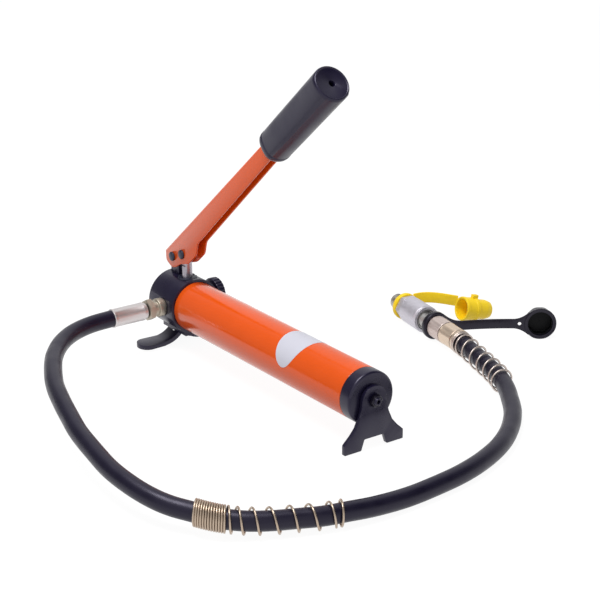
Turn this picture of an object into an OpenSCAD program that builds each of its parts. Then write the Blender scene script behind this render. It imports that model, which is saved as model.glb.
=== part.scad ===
// Hydraulic hand pump: a lever pump head on a tube reservoir, with its hose and screw coupler.
// Millimetres. +X runs along the reservoir from the pump head to the front foot, +Z is up.
// The origin is on the floor, midway along and across the pump.

/* [Reservoir] */
// Outer diameter of the reservoir tube
tube_d = 52; // [42:0.5:64]
// Wall of the reservoir tube
tube_wall = 2.5; // [1.5:0.25:4]
// Length of tube that shows between the head and the end cap
tube_show = 281; // [220:1:400]
// Height of the tube's axis above the floor
axis_h = 47; // [44:0.5:58]
// Diameter of the tie rod that clamps the tube
rod_d = 8; // [6:0.5:10]

/* [Pump head] */
// Length of the head along the tube's axis
head_len = 46; // [42:0.5:60]
// How far the head stands out past the tube, all round
head_lip = 3; // [2:0.5:6]
// Distance from the head's front face back to the plunger
plunger_back = 14.5; // [14:0.5:18]
// Distance from the plunger back to the hose port
port_back = 5.5; // [4:0.5:8]
// Distance from the plunger back to the release valve
release_back = 10.5; // [8:0.5:12]

/* [End cap and front foot] */
// Length of end cap that shows
cap_show = 10; // [7:0.5:20]
// Rounding of the end cap's front edge
cap_round = 4; // [1:0.5:6]
// Length of the end cap inside the tube
cap_plug = 12; // [9:0.5:20]
// Thickness of the nut between the end cap and the front foot
rod_nut_t = 5; // [3:0.5:8]
// Size of that nut across its flats
rod_nut_af = 15; // [13:0.5:19]
// Thickness of the front foot plate
foot_t = 4; // [2.5:0.5:6]
// Width of the front foot across its soles
foot_w = 68; // [56:1:90]
// Radius of the front foot's round top
foot_top_r = 14; // [11:0.5:18]
// Width of the notch between the soles
notch_w = 30; // [16:1:36]
// Height of that notch
notch_h = 10.5; // [6:0.5:14]
// How far the tie rod stands out of the front foot
rod_stub = 6; // [3:0.5:12]

/* [Rear foot] */
// Width over both wings of the rear foot
wing_span = 98; // [84:1:120]
// Size of a wing along the tube
wing_w = 20.5; // [16:0.5:30]
// Thickness of a wing
wing_t = 4.5; // [3:0.5:6]
// Bend radius of a wing
wing_bend = 32; // [28:1:40]

/* [Handle] */
// Angle of the handle above the floor
handle_angle = 41; // [30:1:46]
// Distance from the fulcrum pin to the end of the grip
handle_len = 354; // [290:0.5:450]
// Outer width of the pressed channel
channel_w = 12.5; // [11:0.5:18]
// Sheet thickness of the channel
sheet_t = 2; // [1.5:0.25:2.5]
// Length of the grip
grip_len = 123; // [90:0.5:150]
// Diameter of the grip at its lower end
grip_low_d = 34; // [28:0.5:38]
// Diameter of the grip at its free end
grip_end_d = 36; // [30:0.5:46]

/* [Plunger and pins] */
// Diameter of the plunger
plunger_d = 10.5; // [8:0.5:13]
// Diameter of the two lever pins
pin_d = 6; // [5:0.5:7]
// Diameter of the lever pins' heads
pin_head_d = 10.5; // [8:0.5:12]
// Distance along X from the fulcrum pin to the plunger pin
pin_run = 18.2; // [17:0.1:22]
// Height of the plunger pin above the fulcrum pin
pin_rise = 7; // [5:0.1:8]
// Height of the fulcrum pin above the top of the head
fulcrum_rise = 18.2; // [17:0.1:26]

/* [Release valve] */
// Diameter of the release valve's stem
release_d = 10; // [7:0.5:12]
// Diameter of the release knob
knob_d = 30; // [22:1:36]
// Thickness of the knob's grooved rim
knob_t = 9; // [6:0.5:9]

/* [Hose] */
// Diameter of the hose
hose_d = 17.5; // [15:0.5:19]
// Wall of the pump-end ferrule around the hose
ferrule_wall = 0.7; // [0.6:0.1:2]
// Outer diameter of the spring guard part-way along the hose
mid_guard_d = 26; // [25:0.5:28]
// Room around the hose in the spring guard at the coupler
end_guard_play = 0.5; // [0.4:0.1:3]
// Wire diameter of the spring guards
guard_wire = 2; // [1.6:0.1:2.6]

/* [Coupler] */
// Diameter of the coupler's turning collar
collar_d = 29.5; // [26:0.5:30]
// Length of the collar
collar_len = 35; // [30:1:45]
// Diameter of the pipe thread at the coupler's free end
pipe_d = 17; // [13:0.5:18]
// Length of that thread
pipe_len = 15; // [10:1:22]
// Size of the coupler's hexagon across its flats
socket_af = 25; // [23:0.5:25.5]

/* [Dust caps] */
// Diameter of the hose-side dust cap
black_cup_d = 33.5; // [31:0.5:40]
// Length of the hose-side dust cap
black_cup_len = 12; // [9:0.5:24]
// Diameter of the tool-side dust cap
yellow_cup_d = 26; // [25:0.5:32]
// Length of the tool-side dust cap
yellow_cup_len = 36; // [28:1:45]
// Width of the dust caps' straps
strap_w = 10; // [6:0.5:13]
// Thickness of the dust caps' straps
strap_t = 2; // [1.2:0.1:3]

/* [Hidden] */
$fn = 96;
// Radial gaps: around a piece that turns or slides, and around a piece that is seated
run_gap = 0.05;
seat_gap = 0.06;
// Gap between the end faces of pieces that meet
face_gap = 0.1;
// Overshoot of a cut past the face that it opens
cut = 1;

// Places along the pump
total_len = head_len + tube_show + cap_show + rod_nut_t + foot_t + rod_stub;
head_x0 = -total_len / 2;
head_x1 = head_x0 + head_len;
tube_x1 = head_x1 + tube_show;
cap_x1 = tube_x1 + cap_show;
foot_x0 = cap_x1 + rod_nut_t;
foot_x1 = foot_x0 + foot_t;
rod_x1 = foot_x1 + rod_stub;

// Reservoir seals: the depth and width of their grooves, and the ring that lies in them
tube_bore = tube_d - 2 * tube_wall;
groove_depth = 2.4;
groove_w = 2.8;
ring_d = groove_depth - 2 * face_gap;
cap_ring_x = tube_x1 - cap_plug / 2;

// Head
head_r = tube_d / 2 + head_lip;
head_top = axis_h + head_r;
head_bottom = axis_h - head_r;
head_edge = 1;
boss_d = 24;
boss_len = 12;
rod_grip = 19;
rod_vent_d = 3.5;
rod_vent_len = 40;

// Plunger bore, from the suction passage up to the gland
plunger_x = head_x1 - plunger_back;
stroke_room = 16;
suction_tube_d = 6;
suction_wall = 1;
suction_floor_gap = 3.5;
ball_lift = 1;
suction_z = axis_h - tube_bore / 2 + suction_floor_gap + suction_tube_d / 2;
suction_hole_d = suction_tube_d - 2 * suction_wall;
valve_ball_d = 6;
valve_room_d = 8;
valve_seat_d = 4;
ball_on_seat = sqrt(pow(valve_ball_d / 2 + seat_gap, 2) - pow(valve_seat_d / 2, 2));
inlet_seat_z = suction_z + suction_tube_d / 2;
chamber_z = inlet_seat_z + valve_ball_d + ball_lift;
plunger_z0 = chamber_z + stroke_room;
spot_depth = 1.5;
spot_z = head_top - spot_depth;
gland_flange_d = plunger_d + 9.5;
gland_flange_t = 1.5;
gland_notch = 3;
gland_d = plunger_d + 7;
gland_len = 8;
seal_d = plunger_d + 5.5;
seal_len = 5;

// The tube goes into the head as far as the gland's bore leaves room
gland_wall = 0.75;
socket_depth = plunger_back - gland_d / 2 - gland_wall;
tube_x0 = head_x1 - socket_depth;
head_ring_x = head_x1 - socket_depth / 2;

// Suction tube and filter in the reservoir
suction_len = 60;
suction_grip = 8;
filter_d = 11;
filter_len = 18;
filter_grip = 5;
filter_wall = 1;

// Lever linkage
fulcrum_x = plunger_x - pin_run;
fulcrum_z = head_top + fulcrum_rise;
plunger_pin_z = fulcrum_z + pin_rise;
cheek_gap = channel_w - 2 * sheet_t;
side_gap = 0.5;
eye_t = cheek_gap - 2 * side_gap;
eye_w = 15;
eye_below = 9;
eye_above = 8;
eye_shoulder = 5.5;
tang_below = 13;
slot_travel = 1.4;
slot_play = 0.3;
link_gap = 0.7;
link_w = 2 * (pin_run - gland_flange_d / 2 - link_gap);
link_slot_gap = 0.1;
link_in = 16;
link_z0 = head_top - link_in;
link_pin_d = 5;
link_pin_z = link_z0 + link_w / 2;
link_pin_in = 12;
pin_head_t = 2.5;
clip_t = 0.8;
clip_d = pin_d + 4;
clip_groove_d = pin_d - 1.4;
clip_play = 0.05;
clip_mouth = clip_groove_d * 0.8;
pin_tail = 2.4;

// Handle channel outline, along the handle and across it, from the fulcrum pin
channel_back = 10.8;
channel_end_back = 8.5;
channel_front = 12.9;
channel_end_front = 4.8;
flare_depth = 19.7;
flare_start = 22;
flare_stop = 42;
flare_neck = 53.5;
tail_top = 9;
channel_tail = 14;
tail_tip = 2;
tail_heel = 9.7;
tail_turn = 8.5;
chin_start = 3;
chin_stop = 7;
chin_drop = 11.8;
grip_end_wall = 12;
channel_end = handle_len - grip_end_wall;
grip_start = handle_len - grip_len;
grip_rise = 2.2;
grip_round = 5;
grip_nose = 1.5;
grip_edge = 2;
hang_hole_d = 6;
hang_hole_len = 8;

// Hose port on the left of the head
port_x = plunger_x - port_back;
port_d = 13;
port_spot_d = 21;
port_spot_depth = 1.5;
port_face_y = -(head_r - port_spot_depth);
port_len = 10;
outlet_spring_len = 3;
outlet_seat_y = port_face_y + port_len + outlet_spring_len + valve_ball_d / 2 + ball_on_seat;
adapter_collar_d = 19.5;
adapter_collar_len = 8.5;
adapter_neck_d = 14;
adapter_neck_len = 10.5;
adapter_len = adapter_collar_len + adapter_neck_len;
adapter_bore_d = 6;
hose_nut_af = 20;
hose_nut_at = 13.5;
hose_nut_len = 7;
ferrule_tail_d = 12;
ferrule_ring_d = 17;
ferrule_ring_len = 2.3;
ferrule_d = hose_d + 2 * (seat_gap + ferrule_wall);
ferrule_at = 24.5;
ferrule_len = 37;
ferrule_grip = 25;
hose_exit_y = port_face_y - ferrule_at - ferrule_len;

// Release valve on the right of the head
release_x = plunger_x - release_back;
release_seat_y = 8;
release_ball_d = 5;
release_ball_gap = 0.3;
release_ball_room = release_ball_d + 1;
release_hole_d = 3;
release_stem_y0 = release_seat_y + release_ball_d + 2 * release_ball_gap;
release_ring_y = head_r - 6;
release_ring_d = 1.5;
release_groove_w = 2.4;
release_groove_depth = 1;
release_groove_room = 1.5;
knob_gap = 2;
knob_hub_d = 17;
knob_hub_t = 4.5;
knob_y0 = head_r + knob_gap;
knob_y1 = knob_y0 + knob_hub_t + knob_t;
knob_grooves = 20;
knob_groove_d = 2.4;
knob_groove_out = 0.5;

// Relief valve in the rear of the head
relief_y = -13;
relief_z = suction_z + 3;
relief_sunk = 0.5;
relief_d = 8;
relief_depth = 18;
relief_screw_len = 7;
relief_ball_d = 5;
relief_key_af = 4;
relief_hole_d = 2.5;

// Rear foot and its screws
pad_t = 2.5;
pad_w = 23;
foot_screw_d = 6;
foot_screw_grip = 9;
foot_screw_head_d = 11;
foot_screw_head_t = 2.5;
foot_screw_key_af = 4;
foot_screw_rim = 2;
front_pad_back = 2;
front_pad_len = head_len - front_pad_back;
pad_z = head_bottom - pad_t;
wing_rise = pad_z - wing_t;
wing_touch = sqrt(pow(wing_bend, 2) - pow(wing_bend - wing_rise, 2));
rear_screw_x = head_x0 + wing_w / 2;
front_screw_x = head_x0 + front_pad_len - foot_screw_head_d / 2 - foot_screw_rim;

// Front foot outline: half widths and heights of its flared legs
foot_sole_h = 9.5;
foot_waist = 16.5;
foot_waist_h = 33;
foot_knee = 21;
foot_knee_h = 23;
foot_toe = 26.5;
foot_toe_h = 16.5;
notch_top_w = 21;

// Coupler: its place on the floor, its turn, and lengths along its axis from the collar's face
coupler_x = -22;
coupler_y = 223;
coupler_turn = -10;
floor_gap = 0.05;
black_ring_d = 30;
coupler_h = black_ring_d / 2 + floor_gap;
collar_mouth_d = 22.5;
collar_mouth_len = 6;
barrel_d = 21;
barrel_back = 4;
hex_len = 8.5;
collar_back_gap = 0.3;
hex_end = -collar_len - collar_back_gap;
hex_start = hex_end - hex_len;
strap_neck_d = 20;
strap_neck_len = 6.5;
neck_start = hex_start - strap_neck_len;
nipple_d = 16;
nipple_thread_d = 17.5;
nipple_start = -20;
nipple_thread_start = -3.5;
nipple_fit_d = nipple_d + 0.2;
black_ring_at = 14.4;
black_ring_len = 6.6;
nipple_shank_d = 14;
nipple_shank_end = 30;
nipple_bore_d = 8;
coupler_nut_at = 21.4;
coupler_nut_af = 23;
coupler_ferrule_at = 43.5;
coupler_ferrule_d = 24;
coupler_ferrule_len = 21;
coupler_ferrule_grip = 16;
coupler_end = coupler_ferrule_at + coupler_ferrule_len;
yellow_ring_d = 29.4;

// Coupler check valves: a ball behind a seat in each half
coupler_ball_d = 7;
coupler_seat_d = 5;
coupler_seat_len = 3;
coupler_ball_back = sqrt(pow(coupler_ball_d / 2 + seat_gap, 2) - pow(coupler_seat_d / 2, 2));
nipple_seat = nipple_start + coupler_seat_len;
socket_seat = nipple_start - 8;
socket_hole_d = 9;

// Dust cap places: the open end's centre on the floor, and the way the cap points
black_cup_x = 61;
black_cup_y = 310.3;
black_cup_turn = -36;
black_cup_bore = 26;
black_cup_floor = 3;
black_strap_drop = 5;
yellow_cup_x = -23.6;
yellow_cup_y = 273.5;
yellow_cup_turn = 262;
yellow_cup_tilt = 12;
yellow_cup_wall = 2.5;
yellow_cup_depth = 15;
yellow_body_len = 17;
lug_len = 7;
lug_w = 5;
lug_h = 2.5;
dome_step = 2.5;
dome_flatness = 1.2;
strap_ring_wall = 2.5;
strap_root = 1.3;
strap_set_back = 3.5;
yellow_ring_inset = 1;
yellow_strap_out = 11.5;
yellow_strap_rise = 6;
yellow_strap_end_rise = 6;
strap_hole_d = 3;
strap_hole_at = 0.97;

// Hose route: level out of the pump, then down to the floor and up to the coupler
hose_lie = 8.9;
hose_points = [
    [-148.3, -111.5, 47], [-142.5, -131, 47], [-132, -149.5, 47], [-116, -167.5, 47], [-92, -186.5, 47],
    [-62.5, -203.5, 47], [-33, -217.5, 45.5], [-1.5, -228, 43.5], [28.5, -236, 40.5], [56, -242.5, 37.5],
    [87, -246.5, 34], [121, -249, 29.5], [152, -247, 26], [176, -242, 23], [194, -234.5, 20.5],
    [210, -224, 18.5], [227.5, -211.5, 16.5], [242, -195, 14.5], [253, -175.5, 13.2], [262, -154, 12.5],
    [270.5, -133.5, 12.1], [276, -111.5, 12], [279.5, -85.5, 10.5], [280, -52, hose_lie],
    [278, -20, hose_lie], [273, 16, hose_lie], [263.5, 50, hose_lie], [249, 83, hose_lie],
    [229, 113, hose_lie], [204, 140, 10], [175, 162, 11], [156, 174, 12.3], [136, 184, 13],
    [115, 191, 13.6], [94, 197, 14.2], [68, 205, 14.8]
];
hose_path = concat(
    [[port_x, hose_exit_y + ferrule_grip, axis_h], [port_x, hose_exit_y, axis_h]],
    hose_points,
    [coupler_point(coupler_end), coupler_point(coupler_end - coupler_ferrule_grip)]
);
hose_sides = 12;

// Spring guards: first route point, number of close turns, and the pitch of each open turn
guard_sides = 6;
guard_steps = 12;
mid_guard_lift = 1.2;
end_guard_lift = 0.3;
end_guard_d = hose_d + 2 * (guard_wire + end_guard_play);
guard_spacing = 22.6;
guard_turn_gap = 0.3;
mid_guard_from = 17.24;
mid_guard_close = 12;
mid_guard_open = [8, 13.5, 17.5, 17.5, 18.5, 16.5, 6.5];
end_guard_from = len(hose_path) - 2.1;
end_guard_close = 4;
end_guard_open = [10, 15, 16, 16, 16, 14, 6];

// Small valve springs
spring_wire = 0.8;
spring_sides = 6;
outlet_spring_turns = 2;
relief_spring_turns = 4;

// Colours
paint_orange = [0.9, 0.33, 0.1];
satin_black = [0.2, 0.2, 0.23];
bright_steel = [0.78, 0.77, 0.78];
bronze_plate = [0.74, 0.62, 0.45];
rubber_black = [0.13, 0.13, 0.14];
cap_yellow = [0.95, 0.8, 0.1];

// Round bars along each axis
module bar_x(x0, x1, d, y = 0, z = axis_h) {
    translate([x0, y, z]) rotate([0, 90, 0]) cylinder(d = d, h = x1 - x0);
}

module bar_y(y0, y1, d, x, z = axis_h) {
    translate([x, y0, z]) rotate([-90, 0, 0]) cylinder(d = d, h = y1 - y0);
}

module bar_z(z0, z1, d, x, y = 0) {
    translate([x, y, z0]) cylinder(d = d, h = z1 - z0);
}

module nut_y(y0, y1, af, x, z = axis_h) {
    translate([x, y0, z]) rotate([-90, 0, 0]) cylinder(d = af / cos(30), h = y1 - y0, $fn = 6);
}

// A turned shape along X: the profile's points are [radius, distance along X]
module turned_x(x0, profile) {
    translate([x0, 0, axis_h]) rotate([0, 90, 0]) rotate_extrude() polygon(profile);
}

module seal_ring(middle_d, section_d) {
    rotate_extrude() translate([middle_d / 2, 0]) circle(d = section_d);
}

// Path functions: a smooth curve through points, its direction, and a frame across it
function unit(v) = v / norm(v);
function path_point(p, i) =
    i < 0 ? 2 * p[0] - p[1] :
    i >= len(p) ? 2 * p[len(p) - 1] - p[len(p) - 2] : p[i];
function blend(a, b, c, d, f) =
    (2 * b + (c - a) * f + (2 * a - 5 * b + 4 * c - d) * f * f + (3 * b - a - 3 * c + d) * f * f * f) / 2;
function along(p, t) =
    let (i = max(0, min(floor(t), len(p) - 2)), f = t - i)
    blend(path_point(p, i - 1), p[i], p[i + 1], path_point(p, i + 2), f);
function heading(p, t) = unit(along(p, t + 0.05) - along(p, t - 0.05));
function across(h) = unit(cross(h, [0, 0, 1]));
function circle_at(centre, u, v, r, sides) =
    [for (k = [0:sides - 1]) centre + r * (cos(360 * k / sides) * u + sin(360 * k / sides) * v)];
function coupler_point(w) =
    [coupler_x + w * cos(coupler_turn), coupler_y + w * sin(coupler_turn), coupler_h];

// A solid through a list of rings, closed at both ends
module ring_solid(rings) {
    sides = len(rings[0]);
    last = len(rings) - 1;
    points = [for (ring = rings) each ring];
    walls = [
        for (i = [0:last - 1], k = [0:sides - 1])
        let (n = (k + 1) % sides)
        each [
            [i * sides + k, i * sides + n, (i + 1) * sides + n],
            [i * sides + k, (i + 1) * sides + n, (i + 1) * sides + k]
        ]
    ];
    start = [for (k = [0:sides - 1]) sides - 1 - k];
    stop = [for (k = [0:sides - 1]) last * sides + k];
    polyhedron(points, concat(walls, [start, stop]));
}

// Right-hand coil of wire around a path, from route point t0, with a pitch for each of its turns
function coil_run(turn, pitches, i = 0) =
    turn <= 0 || i >= len(pitches) ? 0 : min(turn, 1) * pitches[i] + coil_run(turn - 1, pitches, i + 1);
function coil_line(p, t0, way, spacing, r, lift, pitches) = [
    for (k = [0:len(pitches) * guard_steps])
    let (
        turn = k / guard_steps,
        t = t0 + way * coil_run(turn, pitches) / spacing,
        h = heading(p, t),
        side = across(h),
        out = cos(360 * turn) * side - way * sin(360 * turn) * cross(side, h)
    )
    [along(p, t) + [0, 0, lift] + r * out, out]
];

module coil(line, wire, sides) {
    last = len(line) - 1;
    ring_solid([
        for (i = [0:last])
        let (h = unit(line[min(i + 1, last)][0] - line[max(i - 1, 0)][0]), out = line[i][1])
        circle_at(line[i][0], out, cross(h, out), wire / 2, sides)
    ]);
}

module guard(d, lift, from, way, close, open) {
    pitches = concat([for (k = [1:close]) guard_wire + guard_turn_gap], open);
    coil(
        coil_line(hose_path, from, way, guard_spacing, (d - guard_wire) / 2, lift, pitches),
        guard_wire, guard_sides
    );
}

// A small compression spring between two points
module valve_spring(a, b, d, turns) {
    run = norm(b - a) - spring_wire;
    inset = unit(b - a) * spring_wire / 2;
    pitches = [for (k = [1:turns]) run / turns];
    coil(
        coil_line([a + inset, b - inset], 0, 1, run, (d - spring_wire) / 2, 0, pitches),
        spring_wire, spring_sides
    );
}

// Pump head and what is drilled in it
module head_body() {
    turned_x(head_x0, [
        [0, 0], [head_r - head_edge, 0], [head_r, head_edge], [head_r, head_len],
        [boss_d / 2, head_len], [boss_d / 2, head_len + boss_len], [0, head_len + boss_len]
    ]);
}

module reservoir_groove(x) {
    r = tube_bore / 2;
    floor_r = r - groove_depth;
    turned_x(x - groove_w / 2, [[floor_r, 0], [r, 0], [r, groove_w], [floor_r, groove_w]]);
}

module tube_socket() {
    turned_x(tube_x0, [
        [tube_bore / 2 - seat_gap, 0], [tube_d / 2 + seat_gap, 0],
        [tube_d / 2 + seat_gap, socket_depth + cut], [tube_bore / 2 - seat_gap, socket_depth + cut]
    ]);
    reservoir_groove(head_ring_x);
}

module plunger_bores() {
    bar_z(chamber_z, head_top + cut, plunger_d + 2 * run_gap, plunger_x);
    bar_z(spot_z - gland_len - seal_len, head_top + cut, seal_d + 2 * seat_gap, plunger_x);
    bar_z(spot_z - gland_len, head_top + cut, gland_d + 2 * seat_gap, plunger_x);
    bar_z(spot_z, head_top + cut, gland_flange_d + 2, plunger_x);
    bar_z(inlet_seat_z, chamber_z + cut, valve_room_d, plunger_x);
    bar_z(suction_z, inlet_seat_z + cut, valve_seat_d, plunger_x);
    bar_x(plunger_x, head_x1 + cut, suction_hole_d, 0, suction_z);
    bar_x(head_x1 - suction_grip, head_x1 + cut, suction_tube_d + 2 * seat_gap, 0, suction_z);
}

module release_groove(d) {
    half = release_groove_w / 2;
    bar_y(release_ring_y - half, release_ring_y + half, d, release_x);
}

module side_bores() {
    bar_y(-head_r - cut, port_face_y, port_spot_d, port_x);
    bar_y(port_face_y - cut, port_face_y + port_len, port_d + 2 * seat_gap, port_x);
    bar_y(port_face_y, outlet_seat_y, valve_room_d, port_x);
    bar_y(outlet_seat_y - cut, 0, valve_seat_d, port_x);
    bar_y(release_hole_d / 2, release_seat_y + cut, release_hole_d, release_x);
    bar_x(release_x, plunger_x, release_hole_d, release_hole_d, axis_h);
    bar_y(release_stem_y0 - release_ball_gap, head_r + cut, release_d + 2 * run_gap, release_x);
    bar_y(release_seat_y, release_stem_y0, release_ball_room, release_x);
    release_groove(release_d + 2 * release_groove_room);
}

module relief_bores() {
    bar_x(head_x0 - cut, head_x0 + relief_depth, relief_d + 2 * seat_gap, relief_y, relief_z);
    bar_x(head_x0, head_x1 + cut, relief_hole_d, relief_y, relief_z);
}

module link_slot() {
    gap = link_slot_gap;
    translate([fulcrum_x - link_w / 2 - gap, -eye_t / 2 - gap, link_z0 - gap])
        cube([link_w + 2 * gap, eye_t + 2 * gap, link_in + cut + gap]);
    bar_y(-link_pin_in, head_r + cut, link_pin_d + 2 * seat_gap, fulcrum_x, link_pin_z);
}

module foot_screw_holes() {
    for (x = [rear_screw_x, front_screw_x])
        bar_z(head_bottom - cut, head_bottom + foot_screw_grip, foot_screw_d + 2 * seat_gap, x);
}

module pump_head() {
    color(satin_black) difference() {
        head_body();
        tube_socket();
        plunger_bores();
        side_bores();
        relief_bores();
        link_slot();
        foot_screw_holes();
        bar_x(head_x1 + boss_len - rod_grip, head_x1 + boss_len + cut, rod_d + 2 * seat_gap);
    }
}

module reservoir_tube() {
    color(paint_orange) difference() {
        bar_x(tube_x0 + seat_gap, tube_x1, tube_d);
        bar_x(tube_x0 - cut, tube_x1 + cut, tube_bore);
    }
}

module end_cap() {
    r = tube_d / 2;
    plug_r = tube_bore / 2 - seat_gap;
    color(satin_black) difference() {
        union() {
            bar_x(tube_x1 - cap_plug, tube_x1, 2 * plug_r);
            bar_x(tube_x1, cap_x1 - cap_round, tube_d);
            bar_x(cap_x1 - cap_round, cap_x1, tube_d - 2 * cap_round);
            translate([cap_x1 - cap_round, 0, axis_h]) rotate([0, 90, 0]) rotate_extrude()
                translate([r - cap_round, 0]) intersection() {
                    circle(r = cap_round);
                    square(cap_round);
                }
        }
        bar_x(tube_x1 - cap_plug - cut, cap_x1 + cut, rod_d + 2 * seat_gap);
        reservoir_groove(cap_ring_x);
    }
}

module tie_rod() {
    color(bright_steel) difference() {
        bar_x(head_x1 + boss_len - rod_grip + seat_gap, rod_x1, rod_d);
        bar_x(rod_x1 - rod_vent_len, rod_x1 + cut, rod_vent_d);
    }
}

module tie_rod_nut() {
    color(satin_black) difference() {
        translate([cap_x1, 0, axis_h]) rotate([0, 90, 0])
            cylinder(d = rod_nut_af / cos(30), h = rod_nut_t, $fn = 6);
        bar_x(cap_x1 - cut, foot_x0 + cut, rod_d + 2 * seat_gap);
    }
}

module reservoir_ring(x) {
    translate([x, 0, axis_h]) rotate([0, 90, 0]) seal_ring(tube_bore - groove_depth, ring_d);
}

module head_seal_ring() {
    color(rubber_black) reservoir_ring(head_ring_x);
}

module cap_seal_ring() {
    color(rubber_black) reservoir_ring(cap_ring_x);
}

module front_foot() {
    half = [
        [notch_w / 2, 0], [foot_w / 2, 0], [foot_w / 2, foot_sole_h], [foot_toe, foot_toe_h],
        [foot_knee, foot_knee_h], [foot_waist, foot_waist_h], [foot_top_r, axis_h]
    ];
    outline = concat(
        [[notch_top_w / 2, notch_h]], half,
        [for (i = [len(half) - 1:-1:0]) [-half[i][0], half[i][1]]], [[-notch_top_w / 2, notch_h]]
    );
    color(satin_black) difference() {
        translate([foot_x0, 0, 0]) rotate([90, 0, 90]) linear_extrude(foot_t) union() {
            polygon(outline);
            translate([0, axis_h]) circle(r = foot_top_r);
        }
        bar_x(foot_x0 - cut, foot_x1 + cut, rod_d + 2 * seat_gap);
    }
}

// Rear foot: two wings that arch down to flat tongues, and a pad that is cut to the head's underside
module wing_profile() {
    for (side = [0, 1]) mirror([side, 0]) {
        intersection() {
            translate([wing_touch, wing_bend]) difference() {
                circle(r = wing_bend);
                circle(r = wing_bend - wing_t);
            }
            square([wing_touch, wing_bend]);
        }
        translate([wing_touch - cut, 0]) square([wing_span / 2 - wing_touch + cut, wing_t]);
    }
}

module rear_foot() {
    tip_r = wing_w / 2;
    tip_y = wing_span / 2 - tip_r;
    color(satin_black) difference() {
        union() {
            intersection() {
                translate([head_x0, 0, 0]) rotate([90, 0, 90]) linear_extrude(wing_w) wing_profile();
                translate([head_x0 + tip_r, 0, -cut]) linear_extrude(axis_h) union() {
                    square([wing_w + cut, 2 * tip_y], center = true);
                    for (side = [-1, 1]) translate([0, side * tip_y]) circle(r = tip_r);
                }
            }
            translate([head_x0, -pad_w / 2, pad_z]) cube([front_pad_len, pad_w, axis_h - pad_z]);
        }
        bar_x(head_x0 - cut, head_x1 + cut, 2 * (head_r + seat_gap));
        for (x = [rear_screw_x, front_screw_x])
            bar_z(0, axis_h, foot_screw_d + 2 * seat_gap, x);
        bar_z(-cut, pad_z, foot_screw_head_d + foot_screw_rim, rear_screw_x);
    }
}

module rear_foot_screws() {
    color(satin_black) for (x = [rear_screw_x, front_screw_x]) {
        bar_z(pad_z, head_bottom + foot_screw_grip - seat_gap, foot_screw_d, x);
        difference() {
            bar_z(pad_z - foot_screw_head_t, pad_z, foot_screw_head_d, x);
            translate([x, 0, pad_z - foot_screw_head_t - cut])
                cylinder(d = foot_screw_key_af / cos(30), h = foot_screw_head_t / 2 + cut, $fn = 6);
        }
    }
}

module fulcrum_link() {
    color(satin_black) difference() {
        union() {
            translate([fulcrum_x - link_w / 2, -eye_t / 2, link_z0])
                cube([link_w, eye_t, fulcrum_z - link_z0]);
            bar_y(-eye_t / 2, eye_t / 2, link_w, fulcrum_x, fulcrum_z);
        }
        bar_y(-eye_t, eye_t, pin_d + 2 * run_gap, fulcrum_x, fulcrum_z);
        bar_y(-eye_t, eye_t, link_pin_d + 2 * seat_gap, fulcrum_x, link_pin_z);
    }
}

module link_pin() {
    pin_out = sqrt(pow(head_r, 2) - pow(link_pin_z - axis_h, 2)) - 1;
    color(bright_steel) bar_y(seat_gap - link_pin_in, pin_out, link_pin_d, fulcrum_x, link_pin_z);
}

// A lever pin: head on the left, clip groove on the right
module lever_pin(x, z) {
    half = channel_w / 2;
    difference() {
        union() {
            bar_y(-half - pin_head_t, -half, pin_head_d, x, z);
            bar_y(-half, half + pin_tail, pin_d, x, z);
        }
        difference() {
            bar_y(half + face_gap, half + face_gap + clip_t + 2 * clip_play, pin_d + cut, x, z);
            bar_y(half, half + pin_tail, clip_groove_d, x, z);
        }
    }
}

module fulcrum_pin() {
    color(satin_black) lever_pin(fulcrum_x, fulcrum_z);
}

module plunger_pin() {
    color(satin_black) lever_pin(plunger_x, plunger_pin_z);
}

module pin_clips() {
    y0 = channel_w / 2 + face_gap + clip_play;
    color(satin_black) for (at = [[fulcrum_x, fulcrum_z], [plunger_x, plunger_pin_z]]) difference() {
        bar_y(y0, y0 + clip_t, clip_d, at[0], at[1]);
        bar_y(y0 - cut, y0 + clip_t + cut, clip_groove_d + 2 * seat_gap, at[0], at[1]);
        translate([at[0] - clip_mouth / 2, y0 - cut, at[1] - clip_d])
            cube([clip_mouth, clip_t + 2 * cut, clip_d]);
    }
}

module plunger() {
    eye_z0 = plunger_pin_z - eye_below;
    slot_h = pin_d + 2 * slot_play;
    color(bright_steel) difference() {
        union() {
            bar_z(plunger_z0, plunger_pin_z - tang_below, plunger_d, plunger_x);
            intersection() {
                bar_z(plunger_z0, plunger_pin_z - eye_shoulder, plunger_d, plunger_x);
                translate([plunger_x - plunger_d, -eye_t / 2, 0])
                    cube([2 * plunger_d, eye_t, plunger_pin_z]);
            }
            intersection() {
                translate([plunger_x - eye_w / 2, -eye_t / 2, eye_z0])
                    cube([eye_w, eye_t, eye_below + eye_above]);
                bar_y(-eye_t, eye_t, 2 * norm([eye_w / 2, eye_shoulder]), plunger_x, plunger_pin_z);
            }
        }
        for (side = [-1, 1])
            bar_y(-eye_t, eye_t, slot_h, plunger_x + side * slot_travel, plunger_pin_z);
        translate([plunger_x - slot_travel, -eye_t, plunger_pin_z - slot_h / 2])
            cube([2 * slot_travel, 2 * eye_t, slot_h]);
    }
}

module plunger_seal() {
    color(rubber_black) difference() {
        bar_z(spot_z - gland_len - seal_len + face_gap, spot_z - gland_len - face_gap, seal_d, plunger_x);
        bar_z(0, head_top, plunger_d + 2 * run_gap, plunger_x);
    }
}

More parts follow.
